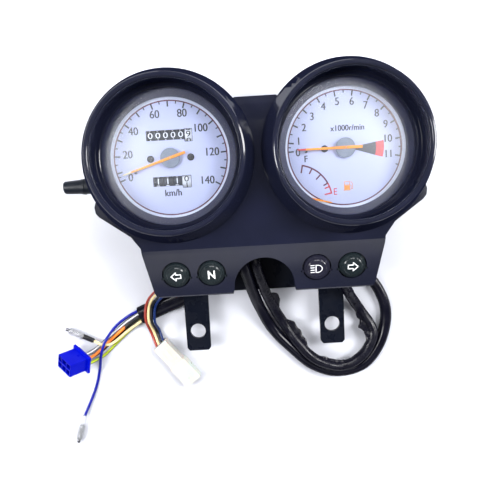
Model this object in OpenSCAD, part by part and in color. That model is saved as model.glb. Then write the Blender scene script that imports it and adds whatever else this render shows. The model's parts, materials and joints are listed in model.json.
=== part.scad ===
// Twin-dial motorcycle instrument cluster: speedometer with odometer and trip meter,
// tachometer with fuel gauge, four tell-tale lamps, steel mounting bracket and wiring loom.
// +Z is the way the dials face, +X is towards the tachometer, +Y is towards the top of the dials.
// The origin is midway between the two bracket holes, on the bracket's back face.

/* [Layout] */
// Distance between the two dial axes
dial_pitch = 114; // [112:0.5:118]
// Distance from the bracket holes up to the dial axes
dial_y = 129; // [126:0.5:134]
// Height of the hood lips above the bracket's back face
lip_z = 71; // [70:0.5:74]
// Depth from the hood lip down to the dial face
dial_depth = 27.7; // [27:0.1:29]
// How far the back of the studs stands behind the bracket
stand_off = 11; // [10.5:0.5:12]

/* [Hoods and pods] */
// Outer radius of a hood at its lip
lip_r = 48.9; // [48:0.1:50]
// Outer radius of a hood at its foot
foot_r = 54.8; // [54:0.1:55.5]
// Radius of the opening that shows the lens
sight_r = 43.2; // [42:0.1:44]
// Wall thickness of the mouldings
wall = 2.2; // [1.8:0.1:2.6]

/* [Lamp panel] */
// Half the width of the lamp panel at its upper crease
crease_x = 79; // [78:0.5:82]
// Half the width of the lamp panel at its lower edge
skirt_x = 73.5; // [72:0.5:75]
// Radius of the arch under the lamp panel
arch_r = 20.2; // [18:0.1:21]
// Distance of the inner tell-tale lamps from the middle
lamp_in = 34.8; // [33:0.1:36]
// Distance of the outer tell-tale lamps from the middle
lamp_out = 58.2; // [57:0.1:60]
// Radius of a tell-tale cap
cap_r = 8.7; // [8:0.1:9]

/* [Bracket] */
// Distance between the two bracket holes
hole_pitch = 103; // [98:0.5:106]
// Radius of the bracket holes
hole_r = 5.75; // [5:0.05:6.5]
// Width of a bracket leg
leg_w = 19; // [17:0.5:21]
// Thickness of the bracket plate
plate_t = 3; // [2:0.1:3]

/* [Meters] */
// Radius of the number drums
drum_r = 7; // [6:0.1:7.2]
// Width that one odometer figure takes
odo_pitch = 5; // [4.8:0.05:5.2]
// Width that one trip meter figure takes
trip_pitch = 6.25; // [6:0.05:6.4]
// Running clearance of shafts in their bearings
running = 0.05; // [0.02:0.01:0.1]

/* [Speedometer cable] */
// Radius of the cable boss over its thread
boss_r = 6; // [6:0.5:8]

/* [Hidden] */
$fn = 96;

dial_x = dial_pitch / 2;
dial_z = lip_z - dial_depth;      // front face of both dials
dial_t = 0.8;
rest_z = -stand_off;              // the plane that the cluster lies on
floor_z = 9;                      // outside of the pod floors
floor_t = 2.5;
box_z = 25;                       // outside of the lamp box floor
board_z = 16;                     // back of the tachometer's circuit board
split_z = 41;                     // parting face between front cover and rear case
flange_t = 2.5;
pod_r = 51.8;                     // outside of a pod under the flange
pod_floor_r = 48;
lens_z = dial_z + 7.2;            // back face of a lens
lens_t = 2;
lens_r = 47.2;
seal_t = 0.7;
seat_z = lens_z + lens_t + seal_t;
seat_t = 1.8;
foot_z = 55;                      // height at which the hoods' flanks begin
saddle_z = 53;
crease_y = dial_y - 61;
skirt_y = dial_y - 92.8;
skirt_z = 43.5;
panel_tilt = atan2(saddle_z - skirt_z, crease_y - skirt_y);
lamp_v = 16.7;                    // lamp centres, down the panel from its crease
lamps = [-lamp_out, -lamp_in, lamp_in, lamp_out];
arch_y = dial_y - 88.3;
odo_y = 14.8;                     // odometer axle above the dial axis
trip_y = -15;                     // trip meter axle below the dial axis
bush_r = 3.4;                     // outside of the reset shaft's bush
axle_z = dial_z - dial_t - 0.5 - drum_r;
axle_r = 1.5;
drum_gap = 0.3;
cheek_x = 17.5;                   // inside faces of the movement frame's cheeks
cheek_t = 2;
needle_z = dial_z + 3.2;
spindle_r = 0.6;
speed_rest = 197;                 // where the needles rest, in degrees from +X
tacho_rest = 180;
fuel_rest = -14;
fuel_at = [-28.5, -30.5];         // fuel gauge axis from the tachometer's
fuel_z = dial_z + 0.7;
cross_y = 7;                      // cross shaft beside the magnet shaft
cross_z = 17.2;
stud_at = [[-34, 26], [34, 26], [-34, -50], [34, -50]];   // from the middle of the dial line
stud_r = 3;
stud_boss = 6;
socket_at = [[-81, 27], [-81, -27], [81, 27], [81, -27]]; // dial bulbs, from the middle of the dial line
screw_at = [[-105, -30], [105, -30], [0, 29], [0, -40], [-46.5, -86.2], [46.5, -86.2]];
screw_r = 1.6;

// Routes of the free cords, from where each leaves the case or the cord before it
loom_r = 4.25;
main_route = [[-15, 64, 30], [-14, 54, 29], [-11, 42, 21], [-7.5, 29, 11], [-2.5, 14, 0], [6, -4, -6.7],
    [20, -20, -6.7], [36, -34.5, -6.7], [55, -41.5, -6.7], [75, -37.5, -6.7], [88, -23.5, -6.7], [94.5, -6, -6.7],
    [94.5, 11, -6.7], [87, 28, -6.7], [73, 43, -6.7], [52, 50, -6.7], [26, 50, -6.7], [-4, 46, -6.7],
    [-30, 38, -6.7], [-52, 29, -6.7]];
branch_r = 4;
branch_route = [[-5.5, 64, 30], [-5, 54, 28], [-2.3, 42, 20], [1.5, 29, 10], [7.5, 14.5, 0], [16, -1.5, -5.5],
    [25.5, -15.5, -2.6], [35, -26.3, -0.8], [46, -32.4, 0.1], [58, -35, -0.3], [69.5, -31.6, -1.2],
    [78.8, -23.2, -2], [84, -11.5, -3.5], [81.5, -2.5, -5.4], [76.5, 5.5, -6], [71.5, 13, -3.6], [66, 21, 4],
    [61.5, 28.5, 11.5], [58.5, 34.5, 20], [56, 40.5, 28.5]];
sleeve_wide = 7;
sleeve_high = 4.5;
sleeve_route = [[-52.5, 28.8, -6.4], [-64, 25, -6.4], [-81, 18.5, -6.4], [-97, 12.5, -6.4]];
wire_r = 1.1;
blue_route = [[-98.8, 16.4, -5], [-107, 12, -8.2], [-117, 5, -6.9], [-125, -5, -2.4], [-130, -17, -3.4],
    [-134, -31, -9], [-139, -47, -9.8], [-149, -68, -8.1]];
bullet_route = [[-95.9, 8.6, -4.2], [-108, 0.6, -6.9], [-120, -8, -5.6], [-128, -9.3, -5.1], [-136.4, -6.2, -7.6]];
six_way_routes = [
    [[-97.2, 12, -3.9], [-108, 5, -7.3], [-120, -4.2, -7.6], [-129.5, -12.6, -7.8], [-135, -16.6, -4], [-138.4, -17.5, 1.2]],
    [[-98, 14, -7], [-109, 7.2, -9.7], [-122, -2.5, -9.8], [-133, -11.5, -9.8], [-139, -15.2, -7], [-142.4, -15.6, -2]],
    [[-97, 11.4, -7.4], [-108, 3.4, -9.8], [-121, -7, -9.8], [-132, -16.4, -9.8], [-140, -19.8, -7.6], [-143.6, -20.4, -3.4]],
    [[-95.9, 8.6, -7.4], [-107, 0.2, -9.8], [-119, -10.2, -9.8], [-129, -19, -9.6], [-136, -22, -5.5], [-139.7, -22.4, -0.3]]];
thin_wire_r = 1;
white_plug_routes = [
    [[-64, 45.6, 30], [-81, 34, 10], [-90, 23, 0.6], [-92, 10, -0.8], [-90.4, -2, -8.6], [-86.3, -13.4, -6.5]],
    [[-61.7, 44.8, 30], [-78.7, 33, 10], [-87.7, 22.4, 0.6], [-89.7, 9.6, -0.8], [-88.1, -1.6, -8.6], [-84.5, -11.9, -6.5]],
    [[-59.4, 44, 30], [-76.4, 32, 10], [-85.4, 21.8, 0.6], [-87.4, 9.2, -0.8], [-85.8, -1.2, -8.6], [-82.7, -10.4, -6.5]],
    [[-57.1, 43.2, 30], [-74.1, 31, 10], [-83.1, 21.2, 0.6], [-85.1, 8.8, -0.8], [-83.5, -0.8, -8.6], [-80.9, -8.9, -6.5]]];
plug_at = [-143, -18, -2.7];      // middle of the six-way plug's wire end
plug_turn = [65, -50, -175];
plug_size = [17.5, 17, 11];
white_plug_at = [-83.4, -11.4, -6.3];
white_plug_turn = -51;

black = [0.05, 0.05, 0.06];
dark = [0.12, 0.12, 0.13];
steel = [0.7, 0.7, 0.72];
brass = [0.8, 0.65, 0.35];
alloy = [0.75, 0.76, 0.78];
orange = [0.95, 0.45, 0.05];
pale = [0.9, 0.92, 0.96];
clear = [0.85, 0.9, 0.95, 0.3];

// ---- placing ----

module at_speedo() { translate([-dial_x, dial_y, 0]) children(); }

module at_tacho() { translate([dial_x, dial_y, 0]) children(); }

module at_both() {
    at_speedo() children();
    at_tacho() children();
}

module both_sides() {
    children();
    mirror([1, 0, 0]) children();
}

// A child drawn at the origin with +Z out of the lamp panel goes to a lamp centre
module on_panel(x) {
    translate([x, crease_y, saddle_z]) rotate([panel_tilt, 0, 0]) translate([0, -lamp_v, 0]) children();
}

module ring(outer, inner, height) {
    difference() {
        cylinder(r = outer, h = height);
        translate([0, 0, -1]) cylinder(r = inner, h = height + 2);
    }
}

// ---- outlines ----

// Right half of the saddle and lamp panel seen from the front, drawn in by d
module half_plan(d) {
    polygon([[0, dial_y + 35.3 - d], [13, dial_y + 35.3 - d], [40, dial_y + 20], [86, dial_y - 38],
        [85.4 - d, dial_y - 49.4], [crease_x + 0.3 - d, crease_y + 3.2], [crease_x - d, crease_y - 1],
        [skirt_x + 0.7 - d, skirt_y + 3.5], [skirt_x - 0.6 - d, skirt_y + 0.9 + d / 2],
        [skirt_x - 3.5 - d, skirt_y + d], [0, skirt_y + d]]);
}

module ear_plan(d) {
    polygon([[90, dial_y - 20], [106, dial_y - 24.5 - d], [108.4 - d, dial_y - 26.6 - d],
        [109.2 - d, dial_y - 29.5], [108.6 - d, dial_y - 33.5 + d / 2], [106.6 - d, dial_y - 36 + d],
        [87.3 - d, dial_y - 50 + d], [70, dial_y - 50]]);
}

// The arch, wider by d all round
module arch_plan(d) {
    translate([0, arch_y]) circle(r = arch_r + d);
    polygon([[-arch_r - d, arch_y], [arch_r + d, arch_y], [arch_r + 1.4 + d, skirt_y - 2],
        [arch_r + 1.4 + d, skirt_y - 20], [-arch_r - 1.4 - d, skirt_y - 20], [-arch_r - 1.4 - d, skirt_y - 2]]);
}

module case_plan(d) {
    difference() {
        union() {
            both_sides() {
                translate([dial_x, dial_y]) circle(r = foot_r - d);
                half_plan(d);
                ear_plan(d);
            }
        }
        arch_plan(d);
    }
}

// Side view of the saddle and lamp panel, lowered by d, swept across the cluster
module side_prism(d) {
    rotate([90, 0, 90]) translate([0, 0, -120]) linear_extrude(height = 240)
        polygon([[dial_y + 40, split_z - 30], [dial_y + 40, saddle_z - 6 - d], [dial_y + 30.2, saddle_z + 0.3 - d],
            [dial_y + 20, saddle_z - d], [crease_y + 1.2, saddle_z - d], [crease_y - 1.2, saddle_z - 0.5 - d],
            [skirt_y + 1, skirt_z + 0.3 - d], [skirt_y, skirt_z - 0.8 - d], [skirt_y - 30, skirt_z - 0.8 - d],
            [skirt_y - 30, split_z - 30]]);
}

// ---- mouldings ----

// One hood: flank, rounded lip, sight wall and lens seat
module hood() {
    rotate_extrude() polygon([[foot_r, split_z], [foot_r, foot_z], [lip_r + 0.9, lip_z - 3.2],
        [lip_r + 0.5, lip_z - 1.6], [lip_r - 0.2, lip_z - 0.5], [lip_r - 1.2, lip_z], [lip_r - 2.2, lip_z - 0.1],
        [lip_r - 3.1, lip_z - 0.9], [lip_r - 3.5, lip_z - 2],
        [46, seat_z + seat_t + 1.5], [45.6, seat_z + seat_t], [sight_r + 0.4, seat_z + seat_t],
        [sight_r, seat_z + seat_t - 0.4], [sight_r, seat_z], [lens_r + 0.1, seat_z],
        [lens_r + 0.1, lens_z + 0.4], [lens_r + 1.6, lens_z + 0.4], [lip_r - 1.2, lip_z - 5.5],
        [lip_r - 0.6, lip_z - 5.6], [foot_r - wall, foot_z - 0.4], [foot_r - wall, split_z]]);
}

module front_cover() {
    color(black) difference() {
        union() {
            difference() {
                union() {
                    intersection() {
                        translate([0, 0, split_z]) linear_extrude(height = 30) both_sides() half_plan(0);
                        side_prism(0);
                    }
                    translate([0, 0, split_z]) linear_extrude(height = 5) both_sides() ear_plan(0);
                }
                intersection() {
                    translate([0, 0, split_z - 2]) linear_extrude(height = 30) difference() {
                        both_sides() half_plan(wall);
                        arch_plan(wall);
                    }
                    side_prism(wall);
                }
                translate([0, 0, split_z - 2]) linear_extrude(height = 5) both_sides() ear_plan(wall);
                at_both() translate([0, 0, split_z - 2]) cylinder(r = foot_r - wall / 2, h = 30);
            }
            at_both() hood();
            for (p = screw_at)
                translate([p[0], dial_y + p[1], split_z]) cylinder(r = 3.6, h = screw_top(p) - split_z, $fn = 32);
        }
        translate([0, 0, split_z - 5]) linear_extrude(height = 40) arch_plan(0);
        for (x = lamps) on_panel(x) {
            translate([0, 0, -10]) cylinder(r = cap_r + 0.8, h = 20);
            for (s = [-1, 1]) translate([s * (cap_r + 0.8), -2.4, -10]) cylinder(r = 0.8, h = 20, $fn = 24);
        }
        for (p = screw_at)
            translate([p[0], dial_y + p[1], split_z - 1]) cylinder(r = screw_r, h = 3.6, $fn = 32);
    }
}

function in_box(p) = p[1] < -60;

// Height that a screw boss reaches inside the front cover
function screw_top(p) = p[0] == 0 ? saddle_z - 1 : split_z + 3;

// One pod of the rear case
module pod() {
    rotate_extrude() polygon([[0, floor_z], [pod_floor_r - 3, floor_z], [pod_floor_r - 0.9, floor_z + 0.9],
        [pod_floor_r, floor_z + 3], [pod_r, split_z - flange_t], [pod_r, dial_z - dial_t],
        [pod_r - wall, dial_z - dial_t], [pod_r - wall, split_z - flange_t],
        [pod_floor_r - wall, floor_z + floor_t + 2.5], [pod_floor_r - wall - 2.5, floor_z + floor_t],
        [0, floor_z + floor_t]]);
}

// The lamp box behind the panel
module lamp_box(d, top) {
    translate([0, 0, box_z + d]) linear_extrude(height = top - box_z - d) difference() {
        both_sides() polygon([[0, dial_y - 45 - d], [70 - d, dial_y - 50 - d], [crease_x - 3 - d, crease_y],
            [skirt_x - 3 - d, skirt_y + 2 + d], [0, skirt_y + 2 + d]]);
        arch_plan(1.5 + d);
    }
}

module rear_case() {
    color(black) difference() {
        union() {
            difference() {
                union() {
                    translate([0, 0, split_z - flange_t]) linear_extrude(height = flange_t) case_plan(0);
                    lamp_box(0, split_z);
                }
                at_both() translate([0, 0, floor_z]) cylinder(r = pod_r - 1, h = 60);
                difference() {
                    lamp_box(wall, split_z + 1);
                    at_both() cylinder(r = pod_r - 1, h = 60);
                }
            }
            at_both() pod();
            for (p = stud_at) translate([p[0], dial_y + p[1], stud_seat(p)]) cylinder(r = 6, h = stud_boss);
            for (p = screw_at) if (in_box(p))
                translate([p[0], dial_y + p[1], box_z]) cylinder(r = 3.6, h = split_z - box_z, $fn = 32);
            at_tacho() for (a = [30, 150, 270]) rotate(a)
                translate([30, 0, floor_z + 1]) cylinder(r = 2.5, h = board_z - floor_z - 1, $fn = 32);
        }
        at_speedo() translate([0, 0, -1]) cylinder(r = boss_r, h = 30);
        for (p = stud_at) translate([p[0], dial_y + p[1], 0]) cylinder(r = stud_r, h = stud_top(p));
        for (p = socket_at) translate([p[0], dial_y + p[1], 0]) cylinder(r = 6.05, h = 20);
        for (x = lamps) translate([x, crease_y - 16, box_z - 5]) cylinder(r = 6.05, h = 10);
        for (p = screw_at) translate([p[0], dial_y + p[1], 20]) cylinder(r = screw_r + 0.2, h = 30, $fn = 32);
        translate([-dial_x - 60, dial_y + trip_y, axle_z]) rotate([0, 90, 0]) cylinder(r = bush_r, h = 20);
        // holes for the two looms and a slot for the thin wires
        for (x = [-15, -5.5]) translate([x, arch_y + 10, 30]) rotate([-90, 0, 0]) cylinder(r = loom_r + 0.7, h = 24);
        translate([56, skirt_y + 4.3, 28.5]) rotate([-36.4, 0, 21]) translate([0, 0, -9])
            cylinder(r = branch_r + 0.6, h = 12);
        translate([-70, skirt_y + 2.7, box_z - 1]) cube([12, 6.3, 5]);
    }
}

// Outside face of the case where a stud stands
function stud_seat(p) = p[1] > 0 ? floor_z : box_z;

function stud_top(p) = stud_seat(p) + stud_boss - 1;

// ---- lenses, surrounds and dials ----

module lens() {
    color(clear) translate([0, 0, lens_z]) {
        cylinder(r = lens_r - 0.1, h = lens_t - 0.4);
        translate([0, 0, lens_t - 0.4]) cylinder(r1 = lens_r - 0.1, r2 = lens_r - 0.5, h = 0.4);
    }
}

module lens_seals() {
    color(dark) at_both() translate([0, 0, lens_z + lens_t]) ring(lens_r - 0.4, sight_r + 1, seal_t);
}

// Reflector between the lens and the dial; its inner edge clears the fuel needle
module surround() {
    color([0.55, 0.57, 0.62]) rotate_extrude() polygon([[38.9, dial_z + 2.7], [39.3, dial_z + 3.3],
        [sight_r - 0.4, lens_z], [lens_r - 0.6, lens_z], [lens_r - 0.3, lens_z - 1.2],
        [pod_r - 0.8, dial_z + 2.2], [pod_r - 0.8, dial_z], [pod_r - 2.4, dial_z],
        [pod_r - 2.6, dial_z + 1.4], [lens_r - 1.2, lens_z - 2], [sight_r + 0.6, lens_z - 2],
        [39.6, dial_z + 2.2]]);
}

module dial_plate() {
    translate([0, 0, dial_z - dial_t]) cylinder(r = pod_r - 0.8, h = dial_t);
}

// A number window from x to x + width, with a taller one for the last figure
module window(y, x, width, last, low, high) {
    translate([x, y + low, dial_z - 2]) cube([width - last, high - low, 4]);
    translate([x + width - last, y + low - 1.6, dial_z - 2]) cube([last, high - low + 1.9, 4]);
}

module speedo_dial() {
    color(pale) at_speedo() difference() {
        dial_plate();
        window(odo_y, -3 * odo_pitch, 6 * odo_pitch, odo_pitch, -2.9, 3.3);
        window(trip_y, -2 * trip_pitch, 4 * trip_pitch, trip_pitch - 0.6, -3, 3);
        translate([0, 0, dial_z - 2]) cylinder(r = 2, h = 4);
        for (s = [-1, 1]) translate([13.2 * s, 0, dial_z - 2]) cylinder(r = 1.3, h = 4, $fn = 32);
        rotate(speed_rest + 3.4) translate([24.7, 0, dial_z - 2]) cylinder(r = 0.6, h = 4, $fn = 24);
    }
}

module tacho_dial() {
    color(pale) at_tacho() difference() {
        dial_plate();
        translate([0, 0, dial_z - 2]) cylinder(r = 2, h = 4);
        translate([-13.2, 0, dial_z - 2]) cylinder(r = 1.3, h = 4, $fn = 32);
        translate([fuel_at[0], fuel_at[1], dial_z - 2]) cylinder(r = 1.5, h = 4, $fn = 32);
        rotate(tacho_rest + 3.4) translate([25.5, 0, dial_z - 2]) cylinder(r = 0.6, h = 4, $fn = 24);
    }
}

module dial_screw() {
    difference() {
        union() {
            translate([0, 0, dial_z]) cylinder(r = 2.3, h = 0.7, $fn = 32);
            translate([0, 0, dial_z + 0.7]) cylinder(r1 = 2.3, r2 = 1.6, h = 0.5, $fn = 32);
            translate([0, 0, dial_z - 5]) cylinder(r = 1.25, h = 5.2, $fn = 32);
        }
        for (a = [0, 90]) rotate(a) translate([-1.3, -0.25, dial_z + 0.6]) cube([2.6, 0.5, 1]);
    }
}

module dial_screws() {
    color(dark) {
        at_speedo() for (s = [-1, 1]) translate([13.2 * s, 0, 0]) dial_screw();
        at_tacho() translate([-13.2, 0, 0]) dial_screw();
    }
}

module stop_pins() {
    color(dark) {
        at_speedo() rotate(speed_rest + 3.4) translate([24.7, 0, dial_z - 1.2]) cylinder(r = 0.6, h = 5.2, $fn = 24);
        at_tacho() rotate(tacho_rest + 3.4) translate([25.5, 0, dial_z - 1.2]) cylinder(r = 0.6, h = 5.2, $fn = 24);
    }
}

// ---- speedometer works ----

module speedo_frame() {
    color(alloy) at_speedo() difference() {
        union() {
            translate([-20, -20.5, floor_z + floor_t]) cube([40, 40.5, 1.5]);
            both_sides() translate([cheek_x, -20.5, floor_z + floor_t]) cube([cheek_t, 40.5, 39.5 - floor_z - floor_t]);
            translate([-cheek_x, -5, 26.2]) cube([2 * cheek_x, 10, 1.4]);
            for (s = [-1, 1]) translate([13.2 * s, 0, 27]) cylinder(r = 2.6, h = dial_z - dial_t - 27, $fn = 32);
        }
        for (y = [odo_y, trip_y])
            translate([-30, y, axle_z]) rotate([0, 90, 0]) cylinder(r = axle_r, h = 60, $fn = 48);
        translate([-30, cross_y, cross_z]) rotate([0, 90, 0]) cylinder(r = axle_r + running, h = 60, $fn = 48);
        cylinder(r = boss_r + 0.2, h = 20);
        translate([0, 0, 20]) cylinder(r = spindle_r + running, h = 20, $fn = 32);
        for (s = [-1, 1]) translate([13.2 * s, 0, dial_z - 5.5]) cylinder(r = 1.25, h = 9, $fn = 32);
    }
}

module cable_boss() {
    color(steel) at_speedo() difference() {
        union() {
            translate([0, 0, rest_z + 1]) cylinder(r = boss_r, h = floor_z + floor_t + 0.5 - rest_z - 1);
            translate([0, 0, floor_z - 3]) cylinder(r = 9.2, h = 3, $fn = 6);
        }
        translate([0, 0, rest_z]) cylinder(r = 4.6, h = 40);
    }
}

module shaft_bush() {
    color(brass) at_speedo() translate([0, 0, -1]) ring(4.6, 3.2 + running, 11);
}

// Input shaft with its worm and the drag magnet; the square socket takes the cable's inner end
module magnet_shaft() {
    color(steel) at_speedo() difference() {
        union() {
            translate([0, 0, -2]) cylinder(r = 3.2, h = 13);
            translate([0, 0, 11]) cylinder(r = 2, h = 11);
            for (i = [0:3]) translate([0, 0, 13 + 2.2 * i]) cylinder(r1 = 2.2, r2 = 2.9, h = 0.7, $fn = 48);
            translate([0, 0, 21.6]) cylinder(r = 12.6, h = 2.2);
        }
        translate([-1.35, -1.35, -3]) cube([2.7, 2.7, 9]);
    }
}

module cross_shaft() {
    color(steel) at_speedo() translate([0, cross_y, cross_z]) rotate([0, 90, 0]) {
        translate([0, 0, -cheek_x - cheek_t - 1]) cylinder(r = axle_r, h = 2 * (cheek_x + cheek_t) + 6, $fn = 48);
        translate([0, 0, -2]) gear(3.9, 3.2, 20, 4);
        translate([0, 0, cheek_x + cheek_t + 0.5]) cylinder(r = 2.6, h = 4, $fn = 48);
    }
}

module gear(tip, root, teeth, width) {
    cylinder(r = root, h = width, $fn = 48);
    for (i = [0:teeth - 1]) rotate(360 / teeth * i)
        translate([root - 0.3, -0.3, 0]) cube([tip - root + 0.3, 0.6, width]);
}

// Drag cup over the magnet, on the spindle that carries the needle
module speed_cup() {
    color(alloy) at_speedo() {
        translate([0, 0, 21]) ring(13.7, 13.1, 3.9);
        translate([0, 0, 24.3]) cylinder(r = 13.1, h = 0.6);
        translate([0, 0, 24.9]) cylinder(r = spindle_r, h = needle_z + 0.8 - 24.9, $fn = 32);
        translate([0, 0, 24.9]) cylinder(r = 2, h = 1, $fn = 32);
    }
}

function spiral(r0, r1, turns, steps) =
    [for (i = [0:steps]) let (a = 360 * turns * i / steps, r = r0 + (r1 - r0) * i / steps) [r * cos(a), r * sin(a)]];

module hairspring() {
    inner = spiral(1.4, 4.6, 3, 60);
    outer = spiral(1.6, 4.8, 3, 60);
    color(brass) at_speedo() translate([0, 0, 28.3]) {
        linear_extrude(height = 0.8) polygon(concat(inner, [for (i = [60:-1:0]) outer[i]]));
        translate([4.7, 0, -0.7]) cylinder(r = 0.5, h = 1.5, $fn = 24);
    }
}

module needle(length, tail, wide, fine, hub, at_z) {
    translate([0, 0, at_z - 1.6]) difference() {
        cylinder(r = hub, h = 1.6);
        translate([0, 0, -1]) cylinder(r = spindle_r, h = 2.2, $fn = 32);
    }
    translate([0, 0, at_z]) linear_extrude(height = 0.8)
        polygon([[-tail, -wide], [-tail, wide], [length - 1.5, fine], [length, 0], [length - 1.5, -fine]]);
}

module speedo_needle() {
    color(orange) at_speedo() rotate(speed_rest) difference() {
        needle(33, 10.5, 0.9, 0.5, 6.4, needle_z);
        translate([0, 0, needle_z - 2]) cylinder(r = spindle_r, h = 2.8, $fn = 32);
    }
}

module meter_axles() {
    color(steel) at_speedo() {
        translate([-cheek_x - cheek_t - 0.6, odo_y, axle_z]) rotate([0, 90, 0])
            cylinder(r = axle_r, h = 2 * (cheek_x + cheek_t) + 1.2, $fn = 48);
        translate([-cheek_x - cheek_t, trip_y, axle_z]) rotate([0, 90, 0])
            cylinder(r = axle_r, h = 2 * (cheek_x + cheek_t) + 0.6, $fn = 48);
    }
}

// Number drum i of a row of n that is centred on the dial axis
module drum(i, n, pitch, y) {
    x = (i - (n + 1) / 2) * pitch;
    w = pitch - drum_gap;
    at_speedo() translate([x - w / 2, y, axle_z]) rotate([0, 90, 0]) difference() {
        cylinder(r = drum_r, h = w);
        translate([0, 0, -1]) cylinder(r = axle_r + running, h = w + 2, $fn = 48);
        translate([0, 0, w - 1]) ring(drum_r - 0.9, 3, 2);
    }
}

module odo_drum(i) { color(i == 6 ? pale : dark) drum(i, 6, odo_pitch, odo_y); }

module trip_drum(i) { color(i == 4 ? pale : dark) drum(i, 4, trip_pitch, trip_y); }

// ---- trip meter reset ----

module along_reset(x) {
    translate([x, dial_y + trip_y, axle_z]) rotate([0, 90, 0]) children();
}

module reset_shaft() {
    color(steel) {
        along_reset(-127) cylinder(r = 2.2, h = 127 - dial_x - cheek_x - cheek_t - 0.3);
        along_reset(-101.8) cylinder(r = 3.2, h = 1.2);
    }
}

module reset_knob() {
    color(dark) difference() {
        along_reset(-131.4) {
            cylinder(r1 = 3.8, r2 = 4.3, h = 0.9);
            translate([0, 0, 0.9]) cylinder(r1 = 4.3, r2 = 4.9, h = 11);
            translate([0, 0, 11.9]) cylinder(r1 = 5.2, r2 = 5.5, h = 2.2);
            translate([0, 0, 14.1]) cylinder(r = 5.1, h = 4.2);
        }
        along_reset(-127) cylinder(r = 2.2, h = 20);
    }
}

module reset_bush() {
    color(black) difference() {
        along_reset(-111) cylinder(r = bush_r, h = 9);
        along_reset(-120) cylinder(r = 2.2 + running, h = 30);
    }
}

// ---- tachometer and fuel gauge works ----

module tacho_movement() {
    color(alloy) at_tacho() {
        translate([0, 0, 19.2]) difference() {
            cylinder(r = 14, h = 18);
            translate([0, 0, 16]) cylinder(r = spindle_r + running, h = 10, $fn = 32);
            translate([0, 0, 3]) cylinder(r = 9, h = 13.5);
        }
        for (a = [45:90:315]) rotate(a) translate([12, 0, 17.6]) cylinder(r = 1, h = 1.6, $fn = 24);
        translate([-13.2, 0, 37.2]) difference() {
            cylinder(r = 2.4, h = dial_z - dial_t - 37.2, $fn = 32);
            translate([0, 0, 0.6]) cylinder(r = 1.25, h = 9, $fn = 32);
        }
    }
}

module tacho_board() {
    color([0.1, 0.35, 0.2]) at_tacho() difference() {
        translate([0, 0, board_z]) cylinder(r = 43, h = 1.6);
        for (s = [-1, 1]) translate([24, 27 * s, 0]) cylinder(r = 9.5, h = 30);
    }
}

module tacho_rotor() {
    color(steel) at_tacho() {
        translate([0, 0, 24]) cylinder(r = 6, h = 8);
        translate([0, 0, 32]) cylinder(r = spindle_r, h = needle_z + 0.8 - 32, $fn = 32);
    }
}

module tacho_needle() {
    color(orange) at_tacho() rotate(tacho_rest) difference() {
        needle(31.5, 10.7, 0.95, 0.55, 6.4, needle_z);
        translate([0, 0, needle_z - 2]) cylinder(r = spindle_r, h = 2.8, $fn = 32);
    }
}

module fuel_movement() {
    color(alloy) at_tacho() translate([fuel_at[0], fuel_at[1], 0]) difference() {
        union() {
            translate([0, 0, board_z + 1.6]) cylinder(r = 4.5, h = 14, $fn = 48);
            translate([0, 0, board_z + 15.6]) cylinder(r = 2.4, h = 8, $fn = 48);
        }
        translate([0, 0, 20]) cylinder(r = 0.5 + running, h = 30, $fn = 32);
    }
}

module fuel_needle() {
    color(orange) at_tacho() translate([fuel_at[0], fuel_at[1], 0]) rotate(fuel_rest) {
        translate([0, 0, 22]) cylinder(r = 0.5, h = fuel_z - 22, $fn = 32);
        translate([0, 0, fuel_z]) cylinder(r = 1.8, h = 1.2, $fn = 48);
        translate([0, 0, fuel_z + 0.2]) linear_extrude(height = 0.6)
            polygon([[0, -0.8], [0, 0.8], [18.5, 0.4], [19.5, 0], [18.5, -0.4]]);
    }
}

// ---- lamps ----

module lamp_cap(x) {
    color(dark) on_panel(x) {
        translate([0, 0, -5]) ring(cap_r, cap_r - 1.4, 5);
        translate([0, 0, -3.7]) ring(cap_r + 1.6, cap_r - 0.5, 1.1);
        translate([0, 0, -0.2]) cylinder(r1 = cap_r, r2 = cap_r - 0.5, h = 1.2);
        translate([0, 0, 1]) cylinder(r1 = cap_r - 1.2, r2 = cap_r - 1.6, h = 0.7);
        translate([0, 0, 1.7]) cylinder(r1 = cap_r - 2.4, r2 = cap_r - 3, h = 0.6);
        for (s = [-1, 1]) translate([s * (cap_r + 0.3), -2.4, -4]) cylinder(r = 0.7, h = 4.2, $fn = 24);
    }
}

module bulb_socket() {
    translate([0, 0, -6]) cylinder(r = 4.4, h = 3, $fn = 48);
    translate([0, 0, -3]) cylinder(r = 7.4, h = 3, $fn = 48);
    ring(6, 3, 7);
    cylinder(r = 3.2, h = 2, $fn = 48);
}

module bulb() {
    difference() {
        union() {
            cylinder(r = 2.8, h = 7, $fn = 48);
            translate([0, 0, 7]) sphere(r = 2.8, $fn = 48);
        }
        cylinder(r = 2, h = 6.4, $fn = 48);
    }
}

module bulb_places() {
    for (p = socket_at) translate([p[0], dial_y + p[1], floor_z]) children();
    for (x = lamps) translate([x, crease_y - 16, box_z]) children();
}

module bulb_sockets() {
    color(dark) bulb_places() bulb_socket();
}

module bulbs() {
    color([0.95, 0.95, 0.85, 0.4]) bulb_places() translate([0, 0, 2]) bulb();
}

// ---- mounting ----

module leg_plan() {
    half = leg_w / 2;
    polygon([[-half, 36], [-half + 0.4, -13], [-half + 2.2, -15.2], [half - 2.2, -15.2], [half - 0.4, -13],
        [half, 36]]);
}

module bracket() {
    color(dark) difference() {
        linear_extrude(height = plate_t) difference() {
            union() {
                both_sides() {
                    translate([hole_pitch / 2, 0]) leg_plan();
                    translate([26, 30]) square([16, dial_y + 6]);
                    for (y = [26, -50]) translate([34, dial_y + y]) circle(r = 10);
                }
                translate([-62, 30]) square([124, 30]);
            }
            both_sides() translate([hole_pitch / 2, 0]) circle(r = hole_r);
            for (p = stud_at) translate([p[0], dial_y + p[1]]) circle(r = 6.5);
        }
    }
}

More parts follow.
